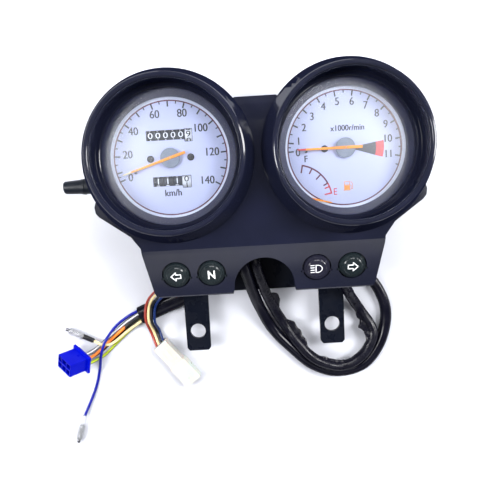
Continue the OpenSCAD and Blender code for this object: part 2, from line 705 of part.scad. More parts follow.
module case_studs() {
    color(steel) for (p = stud_at) translate([p[0], dial_y + p[1], rest_z])
        cylinder(r = stud_r, h = stud_top(p) - rest_z);
}

// Rubber grommets between the bracket plate and the case
module dampers() {
    color(dark) for (p = stud_at) translate([p[0], dial_y + p[1], 0]) difference() {
        union() {
            translate([0, 0, -3]) cylinder(r = 8.5, h = 3);
            cylinder(r = 6.45, h = plate_t);
            translate([0, 0, plate_t]) cylinder(r = 8.5, h = 3);
            translate([0, 0, plate_t + 3]) cylinder(r = 5, h = stud_seat(p) - plate_t - 3);
        }
        translate([0, 0, -10]) cylinder(r = stud_r, h = 60);
    }
}

module bracket_nuts() {
    color(steel) for (p = stud_at) translate([p[0], dial_y + p[1], 0]) difference() {
        union() {
            translate([0, 0, -4.2]) cylinder(r = 8, h = 1.2, $fn = 48);
            translate([0, 0, -9.2]) cylinder(r = 5.7, h = 5, $fn = 6);
        }
        translate([0, 0, -20]) cylinder(r = stud_r, h = 40);
    }
}

module case_screws() {
    color(steel) for (p = screw_at) translate([p[0], dial_y + p[1], 0]) {
        translate([0, 0, screw_seat(p) - 2]) cylinder(r = 3.2, h = 2, $fn = 32);
        translate([0, 0, screw_seat(p)]) cylinder(r = screw_r, h = split_z + 2.4 - screw_seat(p), $fn = 32);
    }
}

// Outside face of the case that a screw head bears on
function screw_seat(p) = in_box(p) ? box_z : split_z - flange_t;

// ---- cords ----

function unit(v) = v / norm(v);

function heading(route, i) =
    let (n = len(route) - 1) unit(route[min(i + 1, n)] - route[max(i - 1, 0)]);

// Ring of points round route point i, wide sideways and high upwards
function ring_points(route, i, wide, high, sides) =
    let (d = heading(route, i), side = unit(cross(d, [0, 0, 1])), up = cross(side, d))
    [for (k = [0:sides - 1]) let (a = 360 * (k + 0.5) / sides) route[i] + side * wide * cos(a) + up * high * sin(a)];

module tube(route, wide, high, sides = 8) {
    n = len(route);
    points = [for (i = [0:n - 1]) each ring_points(route, i, wide, high, sides)];
    skin = [for (i = [0:n - 2]) for (k = [0:sides - 1])
        let (a = i * sides + k, b = i * sides + (k + 1) % sides) each [[a, b, b + sides], [a, b + sides, a + sides]]];
    polyhedron(points, concat(skin, [[for (k = [sides - 1:-1:0]) k]],
        [[for (k = [0:sides - 1]) (n - 1) * sides + k]]));
}

module main_loom() { color(black) tube(main_route, loom_r, loom_r, 10); }

module branch_loom() { color(black) tube(branch_route, branch_r, branch_r, 10); }

module loom_sleeve() { color(black) tube(sleeve_route, sleeve_wide, sleeve_high, 12); }

module blue_wire() { color([0.05, 0.1, 0.8]) tube(blue_route, wire_r, wire_r); }

module bullet_wire() { color([0.9, 0.75, 0.2]) tube(bullet_route, wire_r, wire_r); }

module six_way_wires() {
    color(orange) tube(six_way_routes[0], wire_r, wire_r);
    color(pale) tube(six_way_routes[1], wire_r, wire_r);
    color(black) tube(six_way_routes[2], wire_r, wire_r);
    color([0.8, 0.85, 0.2]) tube(six_way_routes[3], wire_r, wire_r);
}

module white_plug_wires() {
    color([0.4, 0.12, 0.08]) tube(white_plug_routes[0], thin_wire_r, thin_wire_r);
    color([0.9, 0.85, 0.5]) tube(white_plug_routes[1], thin_wire_r, thin_wire_r);
    color([0.75, 0.1, 0.1]) tube(white_plug_routes[2], thin_wire_r, thin_wire_r);
    color([0.05, 0.1, 0.4]) tube(white_plug_routes[3], thin_wire_r, thin_wire_r);
}

module block(size) { translate([0, -size[1] / 2, -size[2] / 2]) cube(size); }

module six_way_plug() {
    color([0.02, 0.08, 0.85]) translate(plug_at) rotate(plug_turn) difference() {
        union() {
            block(plug_size);
            translate([1.5, 0, 0]) block([2, plug_size[1] + 4.8, plug_size[2] + 3]);
        }
        for (w = [-5.4, 0, 5.4], h = [-2.6, 2.6])
            translate([plug_size[0] - 9, w, h]) block([10, 4.2, 3.8]);
    }
}

module white_plug() {
    color([0.93, 0.93, 0.9]) translate(white_plug_at) rotate(white_plug_turn) {
        block([20, 12, 8.4]);
        translate([20, 0, 0]) difference() {
            block([20, 14, 9]);
            for (w = [-3, 3]) translate([8, w, 0]) block([20, 4.6, 6]);
        }
        translate([4, 0, 4.2]) block([12, 4, 1]);
    }
}

module terminal(from, turn) {
    translate(from) rotate([0, 90, turn]) translate([0, 0, 0.5]) {
        cylinder(r = 2.3, h = 12, $fn = 32);
        translate([0, 0, 12]) cylinder(r = 2.8, h = 9, $fn = 32);
        translate([0, 0, 21]) cylinder(r = 1.9, h = 3, $fn = 32);
    }
}

module wire_terminals() {
    color(clear) {
        terminal(bullet_route[4], 153);
        terminal(blue_route[7], -108);
    }
}

front_cover();
rear_case();
at_speedo() lens();  // speedo_lens
at_tacho() lens();  // tacho_lens
lens_seals();
at_speedo() surround();  // speedo_surround
at_tacho() surround();  // tacho_surround
speedo_dial();
tacho_dial();
dial_screws();
stop_pins();
speedo_frame();
cable_boss();
shaft_bush();
hairspring();
meter_axles();
magnet_shaft();
cross_shaft();
speed_cup();
speedo_needle();
odo_drum(1);  // odo_drum_1
odo_drum(2);  // odo_drum_2
odo_drum(3);  // odo_drum_3
odo_drum(4);  // odo_drum_4
odo_drum(5);  // odo_drum_5
odo_drum(6);  // odo_drum_6
trip_drum(1);  // trip_drum_1
trip_drum(2);  // trip_drum_2
trip_drum(3);  // trip_drum_3
trip_drum(4);  // trip_drum_4
reset_shaft();
reset_knob();
reset_bush();
tacho_movement();
tacho_board();
tacho_rotor();
tacho_needle();
fuel_movement();
fuel_needle();
lamp_cap(-lamp_out);  // left_turn_cap
lamp_cap(-lamp_in);  // neutral_cap
lamp_cap(lamp_in);  // high_beam_cap
lamp_cap(lamp_out);  // right_turn_cap
bulb_sockets();
bulbs();
bracket();
case_studs();
dampers();
bracket_nuts();
case_screws();
main_loom();
branch_loom();
loom_sleeve();
blue_wire();
bullet_wire();
six_way_wires();
white_plug_wires();
six_way_plug();
white_plug();
wire_terminals();
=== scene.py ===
"""Looks of a twin-dial motorcycle instrument cluster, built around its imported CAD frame."""
import json
import math

import bmesh
import bpy
from mathutils import Euler, Matrix, Vector, noise


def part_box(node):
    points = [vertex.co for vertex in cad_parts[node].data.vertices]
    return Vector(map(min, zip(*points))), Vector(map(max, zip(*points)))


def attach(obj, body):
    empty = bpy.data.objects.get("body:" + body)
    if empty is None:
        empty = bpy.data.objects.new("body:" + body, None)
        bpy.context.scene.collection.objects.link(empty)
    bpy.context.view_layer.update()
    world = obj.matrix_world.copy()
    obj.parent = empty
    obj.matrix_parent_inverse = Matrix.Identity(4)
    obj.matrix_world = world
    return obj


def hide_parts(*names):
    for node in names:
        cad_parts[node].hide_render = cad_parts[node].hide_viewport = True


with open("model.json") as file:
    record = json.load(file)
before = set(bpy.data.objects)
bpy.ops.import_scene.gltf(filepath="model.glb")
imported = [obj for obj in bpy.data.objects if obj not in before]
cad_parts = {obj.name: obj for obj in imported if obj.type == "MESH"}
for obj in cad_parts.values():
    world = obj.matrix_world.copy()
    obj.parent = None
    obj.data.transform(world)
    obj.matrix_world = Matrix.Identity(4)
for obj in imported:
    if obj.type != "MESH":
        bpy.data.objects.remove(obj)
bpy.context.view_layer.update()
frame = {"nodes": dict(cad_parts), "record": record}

# Values that the whole script uses. Routes, radii and heights are in mm, lights and the floor in metres.
NODES = frame["nodes"]
BEHAVIOUR = frame["record"]["behaviour"]
JOINT = {j["name"]: j for j in BEHAVIOUR["joints"]}
BODY_OF = {n: b for b, members in BEHAVIOUR["bodies"].items() for n in members}
ROOT = BODY_OF["front_cover"]
MM = 0.001
UP = Vector((0, 0, 1))
SPEEDO = Vector(JOINT["speed_pointer_turn"]["pos_m"]).xy / MM
TACHO = Vector(JOINT["tacho_pointer_turn"]["pos_m"]).xy / MM
DIAL_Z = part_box("speedo_dial")[1].z / MM
NEEDLE_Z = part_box("speedo_needle")[1].z / MM
REST_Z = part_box("case_studs")[0].z / MM     # the surface that the cluster lies on


# ---- materials ----

def socket(node, name, value):
    node.inputs[name].default_value = value


def material(name, colour, rough=0.5, metal=0.0, grain=1500, bump=0.15, deep=0.03, rough_by=0.08,
             patch=None, patch_scale=60, patch_at=0.5, quiet_edge=False, **shader):
    """Principled material with fine grain in its bump, uneven roughness and a second colour in patches.

    grain and patch_scale are noise scales, deep is the height of the bump in mm, patch_at is where in
    the noise the second colour takes over, and quiet_edge weakens the reflection at grazing angles."""
    m = bpy.data.materials.new(name)
    m.use_nodes = True
    tree = m.node_tree
    made, link = tree.nodes.new, tree.links.new
    p = tree.nodes["Principled BSDF"]
    socket(p, "Base Color", (*colour, 1))
    socket(p, "Roughness", rough)
    socket(p, "Metallic", metal)
    for key, value in shader.items():
        socket(p, key.replace("_", " "), value)
    place = made("ShaderNodeTexCoord")

    def noisy(size, detail=3):
        n = made("ShaderNodeTexNoise")
        socket(n, "Scale", size)
        socket(n, "Detail", detail)
        link(place.outputs["Object"], n.inputs["Vector"])
        return n.outputs["Fac"]

    if bump:
        b = made("ShaderNodeBump")
        socket(b, "Strength", bump)
        socket(b, "Distance", deep * MM)
        link(noisy(grain), b.inputs["Height"])
        link(b.outputs[0], p.inputs["Normal"])
    if rough_by:
        r = made("ShaderNodeMapRange")
        socket(r, "From Min", 0.3)
        socket(r, "From Max", 0.7)
        socket(r, "To Min", max(rough - rough_by, 0.02))
        socket(r, "To Max", min(rough + rough_by, 1))
        link(noisy(patch_scale * 1.7), r.inputs["Value"])
        link(r.outputs[0], p.inputs["Roughness"])
    if quiet_edge:
        facing = made("ShaderNodeLayerWeight")
        socket(facing, "Blend", 0.5)
        fade = made("ShaderNodeMapRange")
        socket(fade, "From Min", 0.4)
        socket(fade, "From Max", 0.75)
        socket(fade, "To Min", shader.get("Specular_IOR_Level", 0.5))
        socket(fade, "To Max", 0)
        link(facing.outputs["Facing"], fade.inputs["Value"])
        link(fade.outputs[0], p.inputs["Specular IOR Level"])
    if patch:
        ramp = made("ShaderNodeValToRGB")
        for element, where, tone in zip(ramp.color_ramp.elements, (-0.12, 0.12), (colour, patch)):
            element.position = patch_at + where
            element.color = (*tone, 1)
        link(noisy(patch_scale, 5), ramp.inputs["Fac"])
        link(ramp.outputs[0], p.inputs["Base Color"])
    return m


M = {
    "cover": material("cover_plastic", (0.005, 0.006, 0.014), 0.14, grain=2600, bump=0.06, deep=0.01,
                      patch=(0.006, 0.007, 0.017), patch_scale=35, rough_by=0.03,
                      quiet_edge=True, Specular_IOR_Level=0.4),
    "case": material("case_plastic", (0.008, 0.008, 0.012), 0.42, grain=2200, bump=0.25, deep=0.03,
                     patch=(0.012, 0.012, 0.017), patch_scale=45, quiet_edge=True),
    "rubber": material("rubber", (0.002, 0.004, 0.008), 0.42, grain=1800, bump=0.2, deep=0.03,
                       patch=(0.004, 0.006, 0.011), patch_scale=120, Specular_IOR_Level=0.2),
    "surround": material("surround_dark", (0.034, 0.037, 0.076), 0.2, grain=2000, bump=0.06, deep=0.01,
                         patch=(0.041, 0.045, 0.088), patch_scale=30, rough_by=0.05),
    "dial": material("dial_face", (0.515, 0.535, 0.75), 0.55, grain=3000, bump=0.05, deep=0.01,
                     patch=(0.55, 0.57, 0.78), patch_scale=22, rough_by=0.04),
    "dial_edge": material("dial_rim", (0.66, 0.68, 0.8), 0.5, grain=3000, bump=0.05, deep=0.01,
                          patch=(0.72, 0.73, 0.84), patch_scale=25),
    "ink": material("ink_grey", (0.01, 0.01, 0.016), 0.6, grain=3500, bump=0.1, deep=0.01,
                    patch=(0.016, 0.016, 0.024), patch_scale=300),
    "maroon": material("ink_maroon", (0.1, 0.006, 0.03), 0.6, grain=3500, bump=0.1, deep=0.01,
                       patch=(0.13, 0.01, 0.036), patch_scale=300),
    "ink_red": material("ink_red", (0.62, 0.04, 0.05), 0.55, grain=3500, bump=0.1, deep=0.01,
                        patch=(0.68, 0.06, 0.06), patch_scale=300),
    "ink_orange": material("ink_orange", (0.85, 0.27, 0.02), 0.55, grain=3500, bump=0.1, deep=0.01,
                           patch=(0.9, 0.33, 0.03), patch_scale=300),
    "ink_white": material("ink_white", (0.88, 0.89, 0.9), 0.5, grain=3500, bump=0.1, deep=0.01,
                          patch=(0.8, 0.81, 0.84), patch_scale=400),
    # painted glow: the pointers' orange emits a faint light of its own, though the pointers are no lamps
    "needle": material("needle_orange", (0.95, 0.28, 0.01), 0.45, grain=2500, bump=0.05, deep=0.01,
                       patch=(0.98, 0.36, 0.015), patch_scale=90, Emission_Color=(1, 0.35, 0.02, 1),
                       Emission_Strength=0.12),
    "needle_tip": material("needle_pale", (0.95, 0.78, 0.45), 0.45, grain=2500, bump=0.05, deep=0.01,
                           patch=(0.97, 0.84, 0.55), patch_scale=90),
    "hub": material("pointer_hub", (0.17, 0.2, 0.25), 0.5, grain=1200, bump=0.12, deep=0.02,
                    patch=(0.21, 0.24, 0.29), patch_scale=150),
    "cap_green": material("cap_smoke_green", (0.004, 0.007, 0.009), 0.16, grain=400, bump=0.05, deep=0.02,
                          patch=(0.006, 0.01, 0.012), patch_scale=80, rough_by=0.04,
                          Specular_IOR_Level=0.3),
    "cap_blue": material("cap_smoke_blue", (0.006, 0.006, 0.013), 0.16, grain=400, bump=0.05, deep=0.02,
                         patch=(0.009, 0.009, 0.018), patch_scale=80, rough_by=0.04,
                         Specular_IOR_Level=0.3),
    "paint": material("bracket_paint", (0.002, 0.003, 0.007), 0.3, grain=900, bump=0.18, deep=0.03,
                      patch=(0.003, 0.004, 0.008), patch_scale=70, rough_by=0.1, Specular_IOR_Level=0.12),
    "steel": material("plain_steel", (0.42, 0.42, 0.44), 0.33, 1.0, grain=1400, bump=0.15, deep=0.02,
                      patch=(0.34, 0.34, 0.36), patch_scale=120),
    "zinc": material("zinc_plate", (0.62, 0.58, 0.42), 0.3, 1.0, grain=900, bump=0.12, deep=0.02,
                     patch=(0.5, 0.52, 0.5), patch_scale=160),
    "black_steel": material("black_oxide", (0.03, 0.03, 0.035), 0.4, 0.6, grain=1400, bump=0.15, deep=0.02,
                            patch=(0.06, 0.06, 0.065), patch_scale=300),
    "alloy": material("cast_alloy", (0.56, 0.57, 0.6), 0.45, 1.0, grain=1100, bump=0.3, deep=0.04,
                      patch=(0.47, 0.48, 0.5), patch_scale=90),
    "brass": material("brass", (0.78, 0.55, 0.2), 0.3, 1.0, grain=1400, bump=0.1, deep=0.02,
                      patch=(0.6, 0.4, 0.14), patch_scale=140),
    "board": material("board_green", (0.015, 0.11, 0.045), 0.32, grain=700, bump=0.1, deep=0.03,
                      patch=(0.02, 0.16, 0.07), patch_scale=260, patch_at=0.55),
    "drum": material("drum_black", (0.012, 0.018, 0.034), 0.42, grain=2000, bump=0.1, deep=0.02,
                     patch=(0.014, 0.016, 0.026), patch_scale=150),
    "drum_white": material("drum_white", (0.82, 0.83, 0.86), 0.42, grain=2000, bump=0.1, deep=0.02,
                           patch=(0.75, 0.76, 0.8), patch_scale=150),
    "vinyl": material("loom_vinyl", (0.002, 0.002, 0.005), 0.2, grain=260, bump=0.25, deep=0.2,
                      patch=(0.003, 0.003, 0.007), patch_scale=90, rough_by=0.08, quiet_edge=True,
                      Specular_IOR_Level=0.18),
    "tape": material("loom_tape", (0.002, 0.002, 0.005), 0.27, grain=420, bump=0.35, deep=0.2,
                     patch=(0.004, 0.004, 0.008), patch_scale=120, rough_by=0.1, quiet_edge=True,
                     Specular_IOR_Level=0.18),
    "blue_plug": material("plug_blue", (0.0, 0.002, 0.3), 0.35, grain=900, bump=0.08, deep=0.03,
                          patch=(0.0, 0.003, 0.34), patch_scale=60, Specular_IOR_Level=0.06),
    "white_plug": material("plug_white", (0.425, 0.41, 0.375), 0.34, grain=700, bump=0.1, deep=0.03,
                           patch=(0.405, 0.39, 0.355), patch_scale=90, Subsurface_Weight=0.3),
    "milky": material("sleeve_clear", (0.4, 0.41, 0.43), 0.22, grain=600, bump=0.15, deep=0.05,
                      patch=(0.36, 0.37, 0.39), patch_scale=160, Alpha=0.25),
    "crimp": material("tinned_terminal", (0.2, 0.2, 0.22), 0.25, 1.0, grain=900, bump=0.15, deep=0.03,
                      patch=(0.14, 0.14, 0.16), patch_scale=200),
}
BLACK_VINYL = (0.005, 0.005, 0.007)
WIRES = {"blue": (0.0, 0.004, 0.2), "orange": (0.75, 0.17, 0.02), "black": BLACK_VINYL,
         "white": (0.5, 0.5, 0.52), "lime": (0.36, 0.45, 0.02), "brown": (0.24, 0.03, 0.02),
         "navy": (0.002, 0.015, 0.09), "cream": (0.62, 0.5, 0.26)}
for key, tone in WIRES.items():
    M["wire_" + key] = material("wire_" + key, tone, 0.33, grain=700, bump=0.1, deep=0.04,
                                patch=tuple(0.85 * c for c in tone), patch_scale=150,
                                Specular_IOR_Level=0.25)


def dark_sleeve(m, start, end):
    """A black sleeve over a wire: its colour turns black between start and end, in metres along X."""
    made, link = m.node_tree.nodes.new, m.node_tree.links.new
    base = m.node_tree.nodes["Principled BSDF"].inputs["Base Color"]
    place, parts, along, mix = [made("ShaderNode" + kind) for kind in
                                ("TexCoord", "SeparateXYZ", "MapRange", "Mix")]
    mix.data_type = "RGBA"
    socket(along, "From Min", start)
    socket(along, "From Max", end)
    link(place.outputs["Object"], parts.inputs[0])
    link(parts.outputs["X"], along.inputs["Value"])
    link(along.outputs[0], mix.inputs[0])
    colour_a, colour_b, colour_out = mix.inputs[6], mix.inputs[7], mix.outputs[2]
    link(base.links[0].from_socket, colour_a)
    colour_b.default_value = (*BLACK_VINYL, 1)
    link(colour_out, base)


dark_sleeve(M["wire_orange"], -0.111, -0.11)


def lens_material():
    """Flat clear lens: see-through, with a soft gloss on top."""
    m = bpy.data.materials.new("lens_clear")
    m.use_nodes = True
    tree = m.node_tree
    made, link = tree.nodes.new, tree.links.new
    tree.nodes.remove(tree.nodes["Principled BSDF"])
    clear, gloss, mix, fresnel = [made("ShaderNode" + kind) for kind in
                                  ("BsdfTransparent", "BsdfGlossy", "MixShader", "Fresnel")]
    socket(clear, "Color", (0.95, 0.97, 1.0, 1))
    socket(fresnel, "IOR", 1.5)
    place, ripple, tilt, smear = [made("ShaderNode" + kind) for kind in
                                  ("TexCoord", "TexNoise", "Bump", "MapRange")]
    socket(ripple, "Scale", 30)
    link(place.outputs["Object"], ripple.inputs["Vector"])
    socket(tilt, "Strength", 0.01)
    socket(tilt, "Distance", 0.05 * MM)
    link(ripple.outputs["Fac"], tilt.inputs["Height"])
    socket(smear, "To Min", 0.28)
    socket(smear, "To Max", 0.33)
    link(ripple.outputs["Fac"], smear.inputs["Value"])
    link(smear.outputs[0], gloss.inputs["Roughness"])
    link(tilt.outputs[0], gloss.inputs["Normal"])
    link(fresnel.outputs[0], mix.inputs[0])
    link(clear.outputs[0], mix.inputs[1])
    link(gloss.outputs[0], mix.inputs[2])
    link(mix.outputs[0], tree.nodes["Material Output"].inputs["Surface"])
    return m


M["lens"] = lens_material()
M["bulb"] = material("bulb_glass", (0.96, 0.96, 0.9), 0.06, grain=200, bump=0.04, deep=0.03,
                     patch=(0.9, 0.9, 0.84), patch_scale=200, rough_by=0.02, Alpha=0.35)


# ---- making pieces ----

def add(name, mesh, body, *mats, slot=None):
    """A visible piece that rides a body; slot is not used."""
    piece = bpy.data.objects.new(name, mesh)
    bpy.context.scene.collection.objects.link(piece)
    for m in mats:
        mesh.materials.append(M[m])
    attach(piece, body)
    return piece


def finish_mesh(bm, name, smooth=40):
    """Mesh of a bmesh, smooth shaded up to an angle in degrees."""
    mesh = bpy.data.meshes.new(name)
    bmesh.ops.recalc_face_normals(bm, faces=bm.faces[:])
    bm.to_mesh(mesh)
    bm.free()
    mesh.shade_smooth()
    mesh.set_sharp_from_angle(angle=math.radians(smooth))
    return mesh


def round_edges(piece, width):
    """Weld and flatten a CAD mesh, then round its edges by width mm, as modifiers."""
    weld = piece.modifiers.new("weld", "WELD")
    weld.merge_threshold = 1e-5
    flat = piece.modifiers.new("flat", "DECIMATE")
    flat.decimate_type = "DISSOLVE"
    flat.angle_limit = math.radians(1)
    edge = piece.modifiers.new("edge", "BEVEL")
    edge.width = width * MM
    edge.segments = 2
    edge.limit_method = "ANGLE"
    edge.angle_limit = math.radians(30)
    piece.modifiers.new("normals", "WEIGHTED_NORMAL").keep_sharp = True


def dress(node, mat, edge=0.0):
    """A CAD node that stays: one material, and rounded edges if edge is given in mm."""
    o = NODES[node]
    o.data.materials.clear()
    o.data.materials.append(M[mat])
    o.data.polygons.foreach_set("material_index", [0] * len(o.data.polygons))
    if edge:
        round_edges(o, edge)


def prism(bm, points, z0, z1, index=0):
    """Closed prism over a flat outline, in mm."""
    low = [bm.verts.new((x * MM, y * MM, z0 * MM)) for x, y in points]
    high = [bm.verts.new((x * MM, y * MM, z1 * MM)) for x, y in points]
    n = len(points)
    faces = [bm.faces.new(high), bm.faces.new(low[::-1])]
    faces += [bm.faces.new((low[i], low[(i + 1) % n], high[(i + 1) % n], high[i])) for i in range(n)]
    for f in faces:
        f.material_index = index


def polar(centre, r, deg):
    """Point at a radius and an angle in degrees from a centre."""
    a = math.radians(deg)
    return centre[0] + r * math.cos(a), centre[1] + r * math.sin(a)


ARC_STEP = 3                      # degrees between the corners of a band


def arc_band(bm, centre, r0, r1, a0, a1, z0, z1, index=0):
    """Closed band between two radii, from angle a0 to a1; a whole ring if they are 360 apart."""
    n = max(2, round(abs(a1 - a0) / ARC_STEP))
    ring = abs(abs(a1 - a0) - 360) < 1e-6
    rows = []
    for i in range(n if ring else n + 1):
        a = a0 + (a1 - a0) * i / n
        rows.append([bm.verts.new((x * MM, y * MM, z * MM))
                     for r, z in ((r0, z0), (r1, z0), (r1, z1), (r0, z1))
                     for x, y in [polar(centre, r, a)]])
    pairs = [(rows[i], rows[(i + 1) % len(rows)]) for i in range(len(rows) if ring else len(rows) - 1)]
    faces = [bm.faces.new((p[k], p[(k + 1) % 4], q[(k + 1) % 4], q[k])) for p, q in pairs for k in range(4)]
    if not ring:
        faces += [bm.faces.new(rows[0]), bm.faces.new(rows[-1][::-1])]
    for f in faces:
        f.material_index = index


def bar(bm, start, end, width, z0, z1, index=0):
    """Closed bar between two points of a dial."""
    a, b = Vector(start), Vector(end)
    side = (b - a).normalized().orthogonal() * (width / 2)
    prism(bm, [a + side, a - side, b - side, b + side], z0, z1, index)


CAPITAL = 0.7                     # height of a capital over the font's size
BEND_STEP = 0.5                   # height of the strips that lettering is cut into before it is bent


def glyphs(bm, text, height, place, index=0, wide=1.0, bold=0.0, depth=0.1, bend=None):
    """Lettering as closed solids. place is a matrix in mm; bend maps a point in mm to another."""
    curve = bpy.data.curves.new("glyphs", "FONT")
    curve.body = text
    curve.align_x, curve.align_y = "CENTER", "CENTER"
    curve.size = height / CAPITAL
    curve.offset = bold
    curve.extrude = depth / 2
    curve.resolution_u = 5
    holder = bpy.data.objects.new("glyphs", curve)
    bpy.context.scene.collection.objects.link(holder)
    bpy.context.view_layer.update()
    flat = bmesh.new()
    flat.from_mesh(holder.evaluated_get(bpy.context.evaluated_depsgraph_get()).to_mesh())
    if bend:
        rows = round(height / BEND_STEP)
        for i in range(1, rows):
            bmesh.ops.bisect_plane(flat, geom=flat.verts[:] + flat.edges[:] + flat.faces[:], dist=1e-6,
                                   plane_co=(0, height * (i / rows - 0.5), 0), plane_no=(0, 1, 0))
    for v in flat.verts:
        p = Vector((v.co.x * wide, v.co.y, v.co.z))
        v.co = (place @ (bend(p) if bend else p)) * MM
    mesh = bpy.data.meshes.new("glyphs")
    flat.to_mesh(mesh)
    flat.free()
    first = len(bm.faces)
    bm.from_mesh(mesh)
    bm.faces.ensure_lookup_table()
    for f in bm.faces[first:]:
        f.material_index = index
    bpy.data.meshes.remove(mesh)
    holder.to_mesh_clear()
    bpy.data.objects.remove(holder)
    bpy.data.curves.remove(curve)


def at(x, y, z):
    return Matrix.Translation((x, y, z))


def lathe(name, body, mat, centre, profile, sides=96, slot=None, matrix=None, smooth=35):
    """Turned piece from (radius, height) pairs in mm; closed at the axis or into a ring."""
    bm = bmesh.new()
    closed = profile[0][0] > 0 or profile[-1][0] > 0
    rings = []
    for r, z in profile:
        turns = [2 * math.pi * k / sides for k in range(sides if r else 1)]
        rings.append([bm.verts.new((r * math.cos(a), r * math.sin(a), z)) for a in turns])
    spans = list(zip(rings, rings[1:])) + ([(rings[-1], rings[0])] if closed else [])
    for p, q in spans:
        for k in range(sides):
            j = (k + 1) % sides
            corners = [p[k % len(p)], p[j % len(p)], q[j % len(q)], q[k % len(q)]]
            unique = list(dict.fromkeys(corners))
            if len(unique) > 2:
                bm.faces.new(unique)
    m = matrix or Matrix.Translation((centre[0], centre[1], 0))
    for v in bm.verts:
        v.co = (m @ v.co) * MM
    return add(name, finish_mesh(bm, name, smooth), body, mat, slot=slot)


# ---- cords ----

def smooth_path(route, step):
    """Points about a step apart, in mm, on a smooth curve through the route's points."""
    pts = [Vector(p) for p in route]
    ends = [2 * pts[0] - pts[1]] + pts + [2 * pts[-1] - pts[-2]]
    out = []
    for a, b, c, d in zip(ends, ends[1:], ends[2:], ends[3:]):
        n = max(2, round((c - b).length / step))
        for i in range(n):
            t = i / n
            out.append(0.5 * (2 * b + (c - a) * t + (2 * a - 5 * b + 4 * c - d) * t * t
                              + (3 * b - a - 3 * c + d) * t ** 3))
    return out + [pts[-1]]


def tangents_of(path):
    padded = [path[0]] + path + [path[-1]]
    return [(after - before).normalized() for before, after in zip(padded, padded[2:])]


def length_of(path):
    return sum((b - a).length for a, b in zip(path, path[1:]))


def frames(path):
    """Tangent, side and up at each point, carried along without twist."""
    tangents = tangents_of(path)
    side = tangents[0].cross(UP).normalized()
    rows = []
    for t in tangents:
        side = (side - t * side.dot(t)).normalized()
        rows.append((t, side, side.cross(t)))
    return rows


def skin(bm, rings, stripe=()):
    """Faces from ring to ring, and one over each end; stripe holds the columns of material 1."""
    sides = len(rings[0])
    for p, q in zip(rings, rings[1:]):
        for k in range(sides):
            f = bm.faces.new((p[k], p[(k + 1) % sides], q[(k + 1) % sides], q[k]))
            f.material_index = 1 if k in stripe else 0
    bm.faces.new(rings[0][::-1])
    bm.faces.new(rings[-1])


def resting(bm, p):
    """Vertex at a point in mm, no lower than the surface that the cluster lies on."""
    return bm.verts.new(Vector((p.x, p.y, max(p.z, REST_Z))) * MM)


def tube(name, route, radius, mats, sides, step, shape=None, stripe=(), slot=None):
    """Mesh tube along a route, and its path in metres. shape(s, angle) scales the radius."""
    path = smooth_path(route, step)
    bm = bmesh.new()
    s, rings, last = 0.0, [], path[0]
    for p, (t, side, up) in zip(path, frames(path)):
        s += (p - last).length
        last = p
        ring = []
        for k in range(sides):
            a = 2 * math.pi * k / sides
            f = shape(s, a) if shape else 1
            ring.append(resting(bm, p + side * radius * f * math.cos(a) + up * radius * f * math.sin(a)))
        rings.append(ring)
    skin(bm, rings, stripe)
    piece = add(name, finish_mesh(bm, name, 55), ROOT, *mats, slot=slot)
    return piece, [p * MM for p in path]


# Routes of the cords: points on their centre lines.
MAIN = [(-15, 64, 30), (-14, 54, 29), (-11, 42, 21), (-7.5, 29, 11), (-2.5, 14, 0), (6, -4, -6.7),
        (20, -20, -6.7), (36, -34.5, -6.7), (55, -41.5, -6.7), (75, -37.5, -6.7), (88, -23.5, -6.7),
        (94.5, -6, -6.7), (94.5, 11, -6.7), (87, 28, -6.7), (73, 43, -6.7), (52, 50, -6.7),
        (26, 50, -6.7), (-4, 46, -6.7), (-30, 38, -6.7), (-52, 29, -6.7)]
BRANCH = [(-5.5, 64, 30), (-5, 54, 28), (-2.3, 42, 20), (1.5, 29, 10), (7.5, 14.5, 0),
          (16, -1.5, -5.5), (25.5, -15.5, -2.6), (35, -26.3, -0.8), (46, -32.4, 0.1), (58, -35, -0.3),
          (69.5, -31.6, -1.2), (78.8, -23.2, -2), (84, -11.5, -3.5), (81.5, -2.5, -5.4),
          (76.5, 5.5, -6), (71.5, 13, -3.6), (66, 21, 4), (61.5, 28.5, 11.5), (58.5, 34.5, 20),
          (56, 40.5, 28.5)]
SLEEVE = [(-52.5, 28.8, -6.4), (-64, 25, -6.4), (-81, 18.5, -6.4), (-97, 12.5, -6.4)]
BLUE = [(-98.8, 16.4, -5), (-107, 12, -8.2), (-117, 5, -6.9), (-125, -5, -2.4), (-130, -17, -3.4),
        (-134, -31, -9), (-139, -47, -9.8), (-149, -68, -8.1)]
BULLET = [(-95.9, 8.6, -4.2), (-108, 0.6, -6.9), (-120, -8, -5.6), (-128, -9.3, -5.1),
          (-136.4, -6.2, -7.6)]
SIX_WAY = [
    [(-97.2, 12, -3.9), (-108, 5, -7.3), (-120, -4.2, -7.6), (-129.5, -12.6, -7.8), (-135, -16.6, -4),
     (-138.4, -17.5, 1.2)],
    [(-98, 14, -7), (-109, 7.2, -9.7), (-122, -2.5, -9.8), (-133, -11.5, -9.8), (-139, -15.2, -7),
     (-142.4, -15.6, -2)],
    [(-97, 11.4, -7.4), (-108, 3.4, -9.8), (-121, -7, -9.8), (-132, -16.4, -9.8), (-140, -19.8, -7.6),
     (-143.6, -20.4, -3.4)],
    [(-95.9, 8.6, -7.4), (-107, 0.2, -9.8), (-119, -10.2, -9.8), (-129, -19, -9.6), (-136, -22, -5.5),
     (-139.7, -22.4, -0.3)]]
